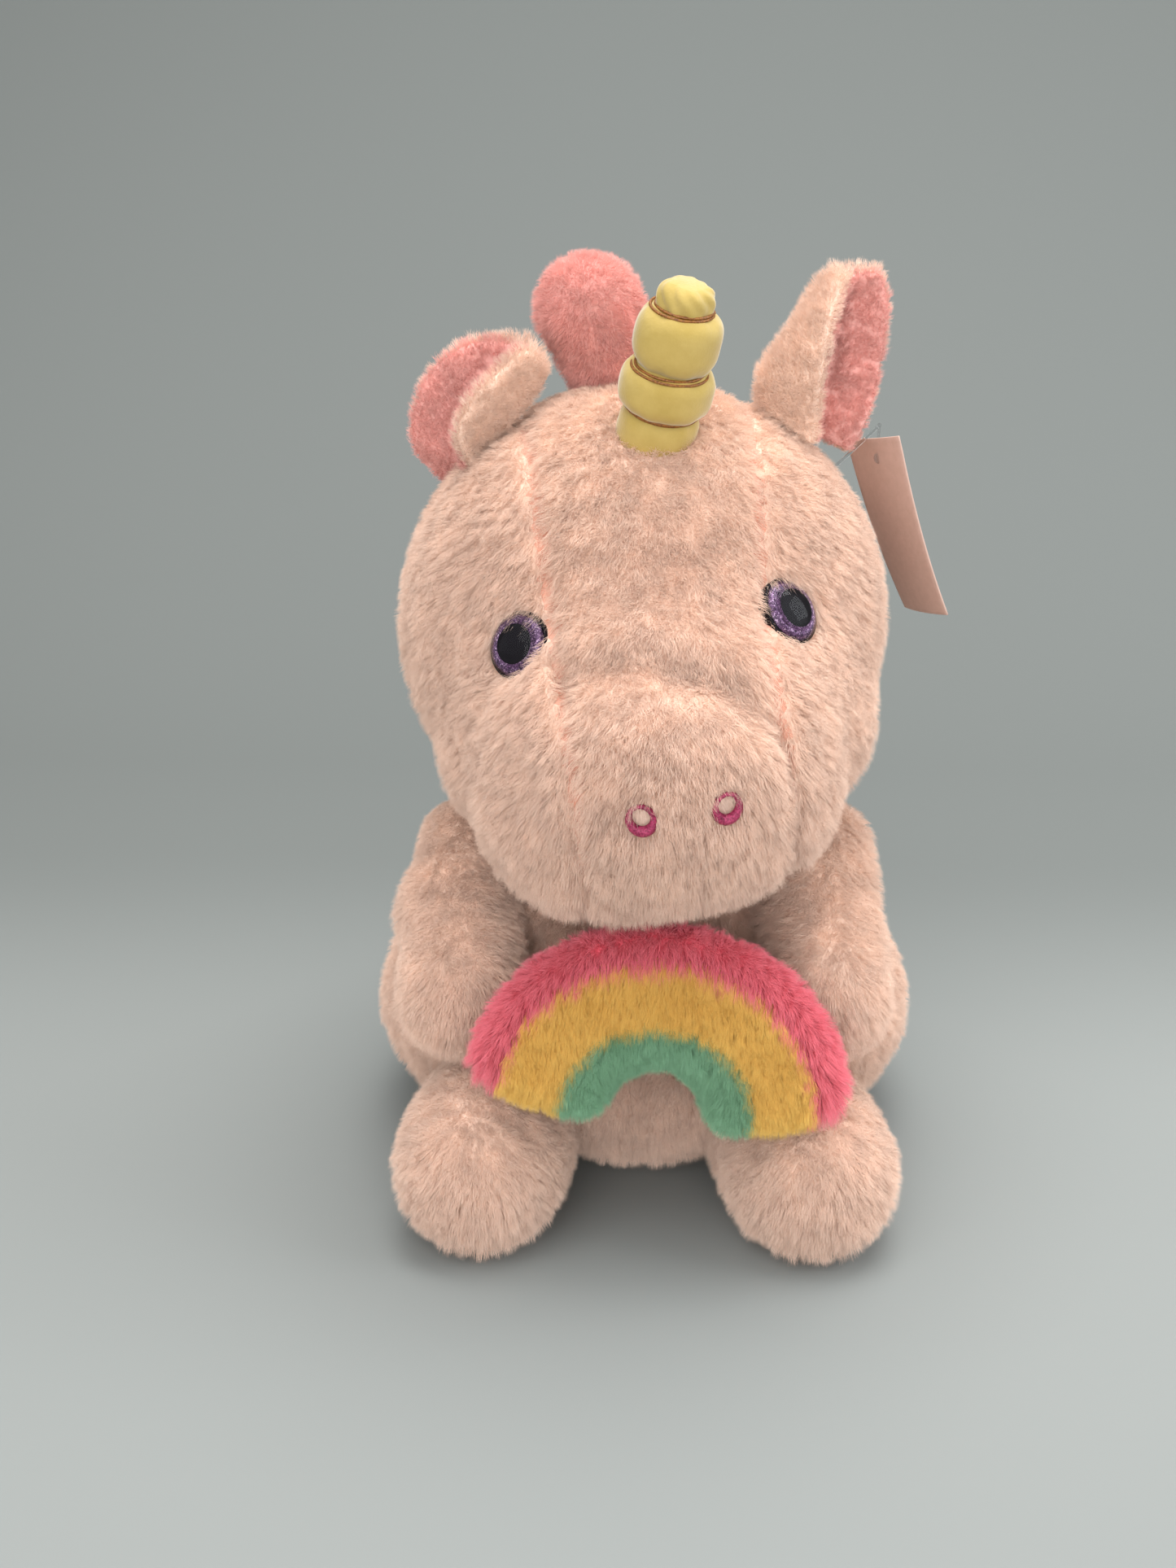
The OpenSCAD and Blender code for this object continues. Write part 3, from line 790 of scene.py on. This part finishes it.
def tube(points, radius, steps):
    """Points and faces of a closed tube along a line, rounded off at both ends."""
    verts, faces = [], []
    line = [Vector(p) for p in points]
    for i, p in enumerate(line):
        ahead = (line[min(i + 1, len(line) - 1)] - line[max(i - 1, 0)]).normalized()
        side_on = ahead.cross(ANY_WAY).normalized()
        up = ahead.cross(side_on)
        share = TUBE_END if i in (0, len(line) - 1) else 1.0
        for k in range(steps):
            a = 2 * math.pi * k / steps
            verts.append(p + (side_on * math.cos(a) + up * math.sin(a)) * radius * share)
    for i in range(len(line) - 1):
        for k in range(steps):
            n = (k + 1) % steps
            faces.append([i * steps + k, i * steps + n, (i + 1) * steps + n, (i + 1) * steps + k])
    faces.append(list(range(steps))[::-1])
    faces.append([(len(line) - 1) * steps + k for k in range(steps)])
    return verts, faces


def tubes(name, lines, radius, mat, steps):
    """One object of many tubes."""
    verts, faces = [], []
    for line in lines:
        v, f = tube(line, radius, steps)
        faces += [[i + len(verts) for i in face] for face in f]
        verts += v
    obj = new_object(name, mesh_of(name, verts, faces), mat)
    shade_smooth(obj)
    return obj


STITCHES = 60
STITCH_R = 0.37
STITCH_RING_R = 4.0
STITCH_LIFT = 2.2
STITCH_CROWN = 1.5
NOSTRIL_TALL = 1.12


def build_nostril(side):
    """A ring of satin stitches, thicker along its lower edge."""
    place = NOSTRIL[side] @ move(0, 0, STITCH_LIFT)
    stitches = []
    for i in range(STITCHES):
        a = 2 * math.pi * i / STITCHES
        low = 0.5 - 0.5 * math.sin(a)
        width = 0.5 + 1.2 * low
        line = []
        for across_it in (-1, -0.5, 0, 0.5, 1):
            r = STITCH_RING_R + across_it * width
            lift = STITCH_CROWN * (1 - across_it**2) + 0.2
            a_k = a + 0.05 * across_it
            line.append(place @ at(r * math.cos(a_k), NOSTRIL_TALL * r * math.sin(a_k), lift))
        stitches.append(line)
    ring = tubes(f"nostril_{SIDE_NAME[side]}", stitches, STITCH_R * MM, magenta_thread, steps=6)
    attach(ring, "head")
    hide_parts(f"nostril_{SIDE_NAME[side]}")


for side in (LEFT, RIGHT):
    build_nostril(side)

# ---- horn ----

HORN_TOP = 51.5
HORN_SUNK = 10
HORN_ROOT_R = 13.0
# Each puff's middle height, half height and radius
HORN_BULGES = ((0.0, 10.0, 13.6), (15.8, 9.5, 15.9), (33.0, 11.5, 14.4), (45.5, 6.6, 9.2))
GROOVES = (8.1, 23.3, 43.4)
BULGE_POWER = 3.0
CRUMPLED_FROM = 40
THREAD_R = 0.5
THREAD_STEPS = 48
# The two turns of thread in each groove, and how far the thread sinks in at the sides of each groove
THREAD_TURNS = (-0.45, 0.35)
THREAD_SUNK = (1.2, 1.2, 0.0)


def horn_radius(z):
    """The horn's radius at a height, both in millimetres: the largest of its puffs there."""
    best = HORN_ROOT_R if z < 4 else 0.0
    for centre, half, r in HORN_BULGES:
        u = abs(z - centre) / half
        if u < 1:
            best = max(best, r * (1 - u**BULGE_POWER) ** (1 / BULGE_POWER))
    return best


def creased_radius(a, z):
    """The horn's radius with the folds that run out of each groove and the crumpled tip."""
    r = horn_radius(z)
    near = min(abs(z - g) for g in GROOVES)
    pinch = math.exp(-((near / 4.0) ** 2))
    folds = math.sin(7 * a + z / 5) + 0.6 * math.sin(12 * a - z / 6)
    crumple = math.sin(3 * a + z / 5) * math.cos(2 * a - z / 7)
    tip = max(0.0, (z - CRUMPLED_FROM) / 12)
    r += 0.22 * pinch * folds + 0.3 * crumple
    return r + tip * min(1, r / 5) * (0.5 * math.sin(4 * a + 1.0) + 0.35 * math.sin(9 * a + z))


def build_horn():
    """Velvet puffs, creased where the thread pulls them in, with a crumpled tip."""
    steps, rows = 120, 180
    points, faces = [], []
    for j in range(rows + 1):
        z = -HORN_SUNK + (HORN_TOP + HORN_SUNK) * math.sin(math.pi / 2 * j / rows) ** 0.9
        for i in range(steps):
            a = 2 * math.pi * i / steps
            r = creased_radius(a, z)
            points.append(HORN @ at(r * math.cos(a), r * math.sin(a), z))
    for j in range(rows):
        for i in range(steps):
            n = (i + 1) % steps
            faces.append([j * steps + i, j * steps + n, (j + 1) * steps + n, (j + 1) * steps + i])
    faces.append(list(range(steps))[::-1])
    faces.append([rows * steps + i for i in range(steps)])
    cover = new_object("horn_cover", mesh_of("horn_cover", points, faces), horn_velvet)
    shade_smooth(cover)
    rings = []
    for k, g in enumerate(GROOVES):
        for above in THREAD_TURNS:
            line = []
            for i in range(THREAD_STEPS + 1):
                a = 2 * math.pi * i / THREAD_STEPS
                z = g + above + 0.3 * math.sin(a + k)
                facing = max(0.0, -math.sin(a))
                r = horn_radius(z) + 0.3 - THREAD_SUNK[k] * (1 - facing) ** 2
                line.append(HORN @ at(r * math.cos(a), r * math.sin(a), z))
            rings.append(line)
    thread = tubes("horn_thread", rings, THREAD_R * MM, brown_thread, steps=8)
    for part in (cover, thread):
        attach(part, "horn")
    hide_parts("horn_cover", "horn_stuffing")
    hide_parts("horn_thread")


build_horn()

# ---- forelock, mane and tail ----


def tuft(name, body, build, nodes_for, seed):
    """A stuffed piece of pink plush."""
    obj = soft_form(name, build, voxel=2.5, rounds=8)
    stuffed(obj, no_seam, pressure=2.0, cap=0.5, start_in=1.0)
    subdivided(obj)
    add_materials(obj, pink_cloth, pink_fibre)
    fur(obj, lie=(0, 0, -0.2), length=5.0, seed=seed)
    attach(obj, body)
    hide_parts(*nodes_for)


def forelock_balls(bm):
    add_bulb(bm, FORELOCK, r1=16, r2=18, length=27)


def tail_balls(bm):
    add_bulb(bm, TAIL, r1=8, r2=12, length=26)


MANE_LOBES = 7
MANE_FROM = 30
MANE_STEP = 8


def mane_balls(bm):
    """Overlapping lobes down the back seam, the middle ones the widest."""
    for i in range(MANE_LOBES):
        lobe = HEAD @ turn(-(MANE_FROM + i * MANE_STEP), "X") @ move(0, 0, SKULL_R - 3)
        from_middle = abs(i - MANE_LOBES // 2)
        add_ball(bm, lobe @ turn(28, "X"), (13 - 0.5 * from_middle, 11, 16 + 2 * (i % 2)))


tuft("forelock", "forelock", forelock_balls, ("forelock_cover", "forelock_stuffing"), seed=5)
tuft("tail", "tail", tail_balls, ("tail_cover", "tail_stuffing"), seed=6)
tuft("mane", "head", mane_balls, ("mane_cover",), seed=7)

# ---- ears ----

# The edges of each cupped ear from root to tip, in millimetres: front edge, spine, and back edge
UPRIGHT_EAR = [
    ((58, -11, 273), (43, 2, 284), (72, 13, 267)),
    ((59, -12, 286), (43, 2, 294), (78, 14, 279)),
    ((60, -12, 298), (49, 3, 303), (81, 15, 293)),
    ((62, -9, 309), (55, 5, 311), (83, 15, 309)),
    ((65, -3, 320), (61, 7, 321), (83, 13, 321)),
    ((69, 4, 328), (67, 8, 329), (79, 10, 330)),
]
FOLDED_EAR = [
    ((-62, -17, 263), (-60, -4, 258), (-73, 8, 257)),
    ((-67, -21, 275), (-63, -8, 270), (-83, 7, 268)),
    ((-65, -23, 283), (-58, -10, 276), (-84, 4, 279)),
    ((-60, -24, 291), (-52, -10, 283), (-78, 2, 294)),
    ((-52, -22, 299), (-46, -9, 289), (-65, 0, 305)),
    ((-45, -18, 305), (-41, -8, 296), (-51, -3, 307)),
    ((-41, -13, 304), (-39, -8, 300), (-42, -8, 304)),
]


def along_rows(rows, t):
    """A smooth point between control rows, for each of their three columns."""
    where = t * (len(rows) - 1)
    i = min(int(where), len(rows) - 2)
    f = where - i
    out = []
    for c in range(3):
        p0, p1 = Vector(rows[max(i - 1, 0)][c]), Vector(rows[i][c])
        p2, p3 = Vector(rows[i + 1][c]), Vector(rows[min(i + 2, len(rows) - 1)][c])
        out.append(
            0.5
            * (
                2 * p1
                + (p2 - p0) * f
                + (2 * p0 - 5 * p1 + 4 * p2 - p3) * f**2
                + (3 * p1 - p0 - 3 * p2 + p3) * f**3
            )
        )
    return out


def ear_sheet(rows, low, high, across=24, along=36):
    """A closed slab between two offsets, in millimetres, of the ear's cupped surface."""
    grid = np.zeros((along + 1, across + 1, 3))
    for j in range(along + 1):
        front, spine, back = along_rows(rows, j / along)
        bend = spine * 2 - (front + back) * 0.5
        for i in range(across + 1):
            u = i / across
            grid[j, i] = (1 - u) ** 2 * front + 2 * u * (1 - u) * bend + u**2 * back
    du = np.gradient(grid, axis=1)
    dv = np.gradient(grid, axis=0)
    up = np.cross(du, dv)
    up /= np.maximum(np.linalg.norm(up, axis=2, keepdims=True), 1e-9)
    layers = [grid + up * low, grid + up * high]
    points = [Vector(p) * MM for layer in layers for p in layer.reshape(-1, 3)]
    return points, slab_faces(along, across)


# Each layer's two faces from the cupped surface, its pile's length, and what it's made of
EAR_LAYERS = {
    "back": (0.2, 3.4, 4.0, fur_cloth, fur_fibre, "fur"),
    "lining": (-2.6, -0.2, 3.2, pink_cloth, pink_fibre, "pink_plush"),
}


def build_ear(side, rows, outward):
    """outward is 1 where the surface's own normal points to the ear's back, and -1 where it points inside."""
    name = f"ear_{SIDE_NAME[side]}"
    for layer, (low, high, length, cloth, fibre, slot_name) in EAR_LAYERS.items():
        points, faces = ear_sheet(rows, low * outward, high * outward)
        obj = new_object(f"{name}_{layer}", mesh_of(f"{name}_{layer}", points, faces))
        remeshed(obj, 1.1)
        smooth(obj.data, 6)
        shade_smooth(obj)
        add_materials(obj, cloth, fibre)
        fur(obj, lie=(0, 0, 0.35), length=length, seed=8)
        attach(obj, name)
        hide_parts(f"{name}_{layer}")


build_ear(LEFT, UPRIGHT_EAR, -1)
build_ear(RIGHT, FOLDED_EAR, 1)

# ---- torso ----


# Centre and radii of the balls on each side: hip, waist and shoulder. The belly has one of its own
TORSO_BALLS = (
    ((9, 22, 52), (95, 89, 53)),
    ((11, 18, 84), (78, 67, 56)),
    ((14, 14, 108), (56, 46, 34)),
)
BELLY_BALL = ((0, -24, 50), (52, 42, 44))
SEAT_R = 50
SEAT_TOP = 12


def torso_balls(bm):
    for side in (LEFT, RIGHT):
        for (x, y, z), radii in TORSO_BALLS:
            add_ball(bm, move(side * x, y, z), radii)
    centre, radii = BELLY_BALL
    add_ball(bm, move(*centre), radii)


def torso_seams(points):
    """Distance from the middle seam, the side seams and the seat's round seam."""
    p = points / MM
    middle = np.abs(p[:, 0])
    sides = np.abs(p[:, 1] - TORSO_BACK)
    round_gap = np.abs(np.hypot(p[:, 0], p[:, 1] - TORSO_BACK) - SEAT_R)
    seat = np.where(p[:, 2] < SEAT_TOP, round_gap, FAR)
    return np.minimum(np.minimum(middle, sides), seat)


def flat_seat(obj, floor):
    """Lets nothing of the seat go lower than floor, in millimetres."""
    points = coordinates(obj.data)
    points[:, 2] = np.maximum(points[:, 2], floor * MM)
    put_coordinates(obj.data, points)


def bare_below(obj, height):
    """The pile's density: none lower than a height in millimetres, where the toy rests on its seat."""
    return np.where(coordinates(obj.data)[:, 2] < height * MM, 0.0, 1.0)


torso = soft_form("torso_fur", torso_balls, voxel=5.0, rounds=20)
stuffed(torso, torso_seams, pressure=3.0, cap=1.5)
subdivided(torso)
press_in(torso, torso_seams, depth=1.6, width=2.6)
flat_seat(torso, floor=2.0)
add_materials(torso, fur_cloth, fur_fibre)
paint_seam_shade(torso, torso_seams, width=2.2)
fur(torso, density=bare_below(torso, 8), seed=12)
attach(torso, "torso")
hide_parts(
    "torso_front_left",
    "torso_front_right",
    "torso_back_left",
    "torso_back_right",
    "seat_panel",
    "torso_stuffing",
    "pellet_bag",
)


NECK_R = 40


def neck_balls(bm):
    add_ball(bm, move(0, 8, 134), (NECK_R, NECK_R, NECK_R))


neck = soft_form("neck_fur", neck_balls, voxel=5.0, rounds=6)
subdivided(neck)
add_materials(neck, fur_cloth, fur_fibre)
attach(neck, "neck")
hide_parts("neck_stuffing")

# ---- arms ----


def aim(a, b):
    """A frame at a whose Z axis points to b."""
    return Matrix.Translation(a) @ (b - a).to_track_quat("Z", "X").to_matrix().to_4x4()


def build_arm(side):
    """A stuffed tube with a fuller elbow, from the shoulder to the hand on the rainbow."""
    name = f"arm_{SIDE_NAME[side]}"
    place = aim(SHOULDER[side], HAND[side])
    length = (HAND[side] - SHOULDER[side]).length / MM

    def balls(bm):
        add_bulb(bm, place, r1=19, r2=22, length=length, balls=8)
        add_ball(bm, place @ move(side * 1, 4, length * 0.45), (22.5, 21, 24))

    def seam(points):
        p = local(points, place)
        return np.where(p[:, 2] > -8, np.abs(p[:, 0] * 0.9 + side * 3), FAR)

    obj = soft_form(f"{name}_fur", balls, voxel=3.6, rounds=10)
    stuffed(obj, seam, pressure=2.5, cap=1.0)
    subdivided(obj)
    press_in(obj, seam, depth=1.3, width=2.4)
    add_materials(obj, fur_cloth, fur_fibre)
    fur(obj, seed=20 + side)
    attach(obj, name)
    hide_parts(f"{name}_outer", f"{name}_inner", f"{name}_stuffing")


for side in (LEFT, RIGHT):
    build_arm(side)

# ---- legs ----


TOE_BALLS = 10
TOE_BALL_R = 15.5
TOE_RING_R = 13.5
LEG_DROP = 3


def build_leg(side):
    """A stuffed tube that ends in a rounded edge and a flatter sole."""
    name = f"leg_{SIDE_NAME[side]}"
    place = Matrix.Translation(HIP[side]) @ turn(LEG_SPLAY[side] * side, "Z") @ turn(90, "X")

    def balls(bm):
        add_bulb(bm, place @ move(0, -2, 0), r1=27, r2=29, length=26, balls=5)
        add_bulb(bm, place @ move(0, -LEG_DROP, 22), r1=29, r2=28.5, length=LEG_END - 22 - 17, balls=4)
        for i in range(TOE_BALLS):
            a = 2 * math.pi * i / TOE_BALLS
            x, y = TOE_RING_R * math.cos(a), TOE_RING_R * math.sin(a) - LEG_DROP
            add_ball(bm, place @ move(x, y, LEG_END - 17), (TOE_BALL_R, TOE_BALL_R, TOE_BALL_R))
        add_ball(bm, place @ move(0, -LEG_DROP, LEG_END - 19), (23, 23, 18.5))

    def seam(points):
        p = local(points, place)
        return np.abs(p[:, 2] - (LEG_END - 8))

    obj = soft_form(f"{name}_fur", balls, voxel=4.0, rounds=14)
    stuffed(obj, seam, pressure=3.0, cap=1.2)
    subdivided(obj)
    press_in(obj, seam, depth=1.5, width=2.6)
    flat_seat(obj, floor=1.5)
    add_materials(obj, fur_cloth, fur_fibre)
    fur(obj, density=bare_below(obj, 5), seed=30 + side)
    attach(obj, name)
    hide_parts(f"{name}_cover", f"{name}_sole", f"{name}_stuffing")


for side in (LEFT, RIGHT):
    build_leg(side)

# ---- rainbow ----

RAINBOW_R = 62
ARCH_R = 17
BAND_EDGES = (30, 50.5)
BOW = RAINBOW @ turn(5.5, "Y") @ move(1, 0, -3.5)
BOW_STRETCH = 1.05
BOW_FROM = 13
BOW_SWEEP = 154
BOW_BALL = (10, 11.5, 10)
BACK_FROM = 2


def rainbow_balls(bm):
    """A fan of balls fills the bow between the arch and the outer edge."""
    rows = (ARCH_R + 11, 39, RAINBOW_R - 11)
    for r in rows:
        count = int(r / 3.2)
        for i in range(count + 1):
            a = math.radians(BOW_FROM) + math.radians(BOW_SWEEP) * i / count
            spot = BOW @ move(BOW_STRETCH * r * math.cos(a), 0, r * math.sin(a))
            add_ball(bm, spot, BOW_BALL)


def band_radius(points):
    """Each point's radius from the bow's centre, and its depth behind the bow's middle."""
    p = local(points, BOW)
    return np.hypot(p[:, 0] / BOW_STRETCH, p[:, 2]), p[:, 1]


def rainbow_seams(points):
    """Distance from the seams between the bands, which are on the front only."""
    r, depth = band_radius(points)
    bands = np.minimum(np.abs(r - BAND_EDGES[0]), np.abs(r - BAND_EDGES[1]))
    return np.where(depth < 0, bands, FAR)


def band_number(points):
    """0 for the pink band and the back, 1 for the yellow band, and 2 for the green one."""
    r, depth = band_radius(points)
    front = np.where(r > BAND_EDGES[1], 0, np.where(r > BAND_EDGES[0], 1, 2))
    return np.where(depth > BACK_FROM, 0, front)


def build_rainbow():
    obj = soft_form("rainbow_fur", rainbow_balls, voxel=3.0, rounds=8)
    stuffed(obj, rainbow_seams, pressure=4.0, cap=2.0, hold=1.6)
    subdivided(obj)
    press_in(obj, rainbow_seams, depth=1.0, width=2.0)
    for key in BAND:
        add_materials(obj, band_cloth[key], band_fibre[key])
    centres = np.array([p.center for p in obj.data.polygons])
    obj.data.polygons.foreach_set("material_index", (band_number(centres) * 2).astype(int))
    obj.data.update()
    of_vertex = band_number(coordinates(obj.data))
    for k in range(len(BAND)):
        density = (of_vertex == k).astype(float)
        fur(obj, length=9.0, density=density, seed=40 + k, fibre_index=2 * k + 2)
    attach(obj, "rainbow")
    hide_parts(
        "rainbow_pink_band",
        "rainbow_yellow_band",
        "rainbow_green_band",
        "rainbow_back",
        "rainbow_stuffing",
    )


build_rainbow()

# ---- hang tag and label ----

TAG_HOLE = at(84, 33.6, 263)
TAG_W = 30
TAG_LENGTH = 72
TAG_T = 0.8
TAG_TURN = -56
TAG_TWIST = -10
TAG_LEAN = -16
TAG_ABOVE_HOLE = 6
TAG_BOW_R = 200
TAG_DISH = 0.006


def build_tag():
    """A blank card, bowed so that its lower end curls outwards."""
    place = Matrix.Translation(TAG_HOLE) @ turn(TAG_LEAN, "Y")
    rows, columns = 36, 16
    sheets = []
    for offset in (-TAG_T / 2, TAG_T / 2):
        layer = []
        for j in range(rows + 1):
            s = -TAG_ABOVE_HOLE + TAG_LENGTH * j / rows
            below = max(0.0, s)
            a = below / TAG_BOW_R
            reach = s if s < 0 else TAG_BOW_R * math.sin(a)
            curl = TAG_BOW_R * (1 - math.cos(a))
            twist = place @ turn(TAG_TURN + TAG_TWIST * below / TAG_LENGTH, "Z") @ turn(90, "X")
            for i in range(columns + 1):
                x = -TAG_W / 2 + TAG_W * i / columns
                layer.append(twist @ at(x, -reach, offset - 0.5 * curl - TAG_DISH * x * x))
        sheets.append(layer)
    faces = slab_faces(rows, columns, turned_over=True)
    obj = new_object("hang_tag_card", mesh_of("hang_tag_card", sheets[0] + sheets[1], faces), tag_card)
    shade_smooth(obj)
    edges = obj.modifiers.new("edges", "BEVEL")
    edges.width = 0.15 * MM
    edges.limit_method = "ANGLE"
    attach(obj, "hang_tag")
    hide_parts("hang_tag")


build_tag()


def dress(node, mat):
    """Shows a CAD node with a better material."""
    cad = next(o for o in bpy.context.scene.objects if o.get("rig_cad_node") == node)
    cad.data.materials.clear()
    cad.data.materials.append(mat)


dress("tag_pin", eye_clear)
dress("care_label", label_satin)

# ---- floor, light and camera ----


PALE_PAPER = (0.27, 0.282, 0.27)
# The paper's colour with painted shade: the far floor and the wall greyed as if less light reaches them
SHADED_PAPER = (0.18, 0.19, 0.18)
# How far behind the toy, in metres, the painted shade on the paper is at its deepest
SHADED_FROM = 0.30


def build_stage():
    """A paper sweep: a pale floor that curves up into a wall, with shade painted on the paper that greys it
    from the toy backwards.
    """
    half, bend_at, bend_r, top = 4.0, 0.45, 0.6, 3.5
    bend_steps = 24
    profile = [(-half, 0.0), (bend_at, 0.0)]
    for i in range(1, bend_steps + 1):
        a = math.pi / 2 * i / bend_steps
        profile.append((bend_at + bend_r * math.sin(a), bend_r * (1 - math.cos(a))))
    profile.append((bend_at + bend_r, top))
    points = [(x, y, z) for y, z in profile for x in (-half, half)]
    faces = [[2 * i, 2 * i + 1, 2 * i + 3, 2 * i + 2] for i in range(len(profile) - 1)]
    sweep = new_object("paper_sweep", mesh_of("paper_sweep", points, faces))
    shade_smooth(sweep)

    def paper(nodes, links, shader):
        place = nodes.new("ShaderNodeTexCoord")
        split = nodes.new("ShaderNodeSeparateXYZ")
        links.new(place.outputs["Object"], split.inputs["Vector"])
        far = nodes.new("ShaderNodeMapRange")
        far.interpolation_type = "SMOOTHSTEP"
        far.inputs["From Min"].default_value = 0.0
        far.inputs["From Max"].default_value = SHADED_FROM
        links.new(split.outputs["Y"], far.inputs["Value"])
        # Painted shade: the pale paper greys with distance behind the toy
        paper_with_shade = ramp(nodes, links, far.outputs["Result"], [(0.0, PALE_PAPER), (1.0, SHADED_PAPER)])
        links.new(paper_with_shade, shader.inputs["Base Color"])
        shader.inputs["Roughness"].default_value = 0.9
        shader.inputs["Specular IOR Level"].default_value = 0.1

    sweep.data.materials.append(material("backdrop_paper", paper))


def area_light(name, spot, target, size, power, colour=(1, 1, 1)):
    """A square lamp at spot that points to target."""
    data = bpy.data.lights.new(name, "AREA")
    data.size = size
    data.energy = power
    data.color = colour
    lamp = bpy.data.objects.new(name, data)
    lamp.location = Vector(spot)
    lamp.rotation_mode = "QUATERNION"
    lamp.rotation_quaternion = (Vector(target) - Vector(spot)).to_track_quat("-Z", "Y")
    bpy.context.scene.collection.objects.link(lamp)


def build_light():
    """A soft key, a cooler fill, a strong light from above, and a low one that opens the shadows."""
    area_light("key", (-0.45, -0.9, 1.5), (0, 0, 0.15), size=1.2, power=10)
    area_light("fill", (1.2, -0.1, 0.8), (0, 0, 0.18), size=1.0, power=10, colour=(0.92, 0.96, 1.0))
    area_light("top", (0.15, 0.2, 1.6), (0, 0, 0.2), size=1.2, power=27)
    area_light("low_front", (-0.1, -1.4, 0.35), (0, 0, 0.12), size=1.2, power=13)
    world = bpy.data.worlds.new("studio")
    bpy.context.scene.world = world
    world.use_nodes = True
    sky = next(n for n in world.node_tree.nodes if n.type == "BACKGROUND")
    sky.inputs["Color"].default_value = (0.93, 0.96, 1.0, 1)
    sky.inputs["Strength"].default_value = 0.68


CAMERA_SPOT = (0, -0.6420, 0.3636)
CAMERA_DOWN = 18.98
CAMERA_TURN = 1.944


def build_camera():
    """The photo's own view: a little above the toy, and looking down at it."""
    data = bpy.data.cameras.new("camera")
    data.lens = 41
    data.sensor_width = 36
    data.clip_start = 0.02
    data.clip_end = 20
    cam = bpy.data.objects.new("camera", data)
    cam.rotation_mode = "XYZ"
    cam.location = CAMERA_SPOT
    cam.rotation_euler = (math.radians(90 - CAMERA_DOWN), 0, math.radians(CAMERA_TURN))
    bpy.context.scene.collection.objects.link(cam)
    bpy.context.scene.camera = cam


build_stage()
build_light()
build_camera()
bpy.context.scene.view_settings.view_transform = "Standard"
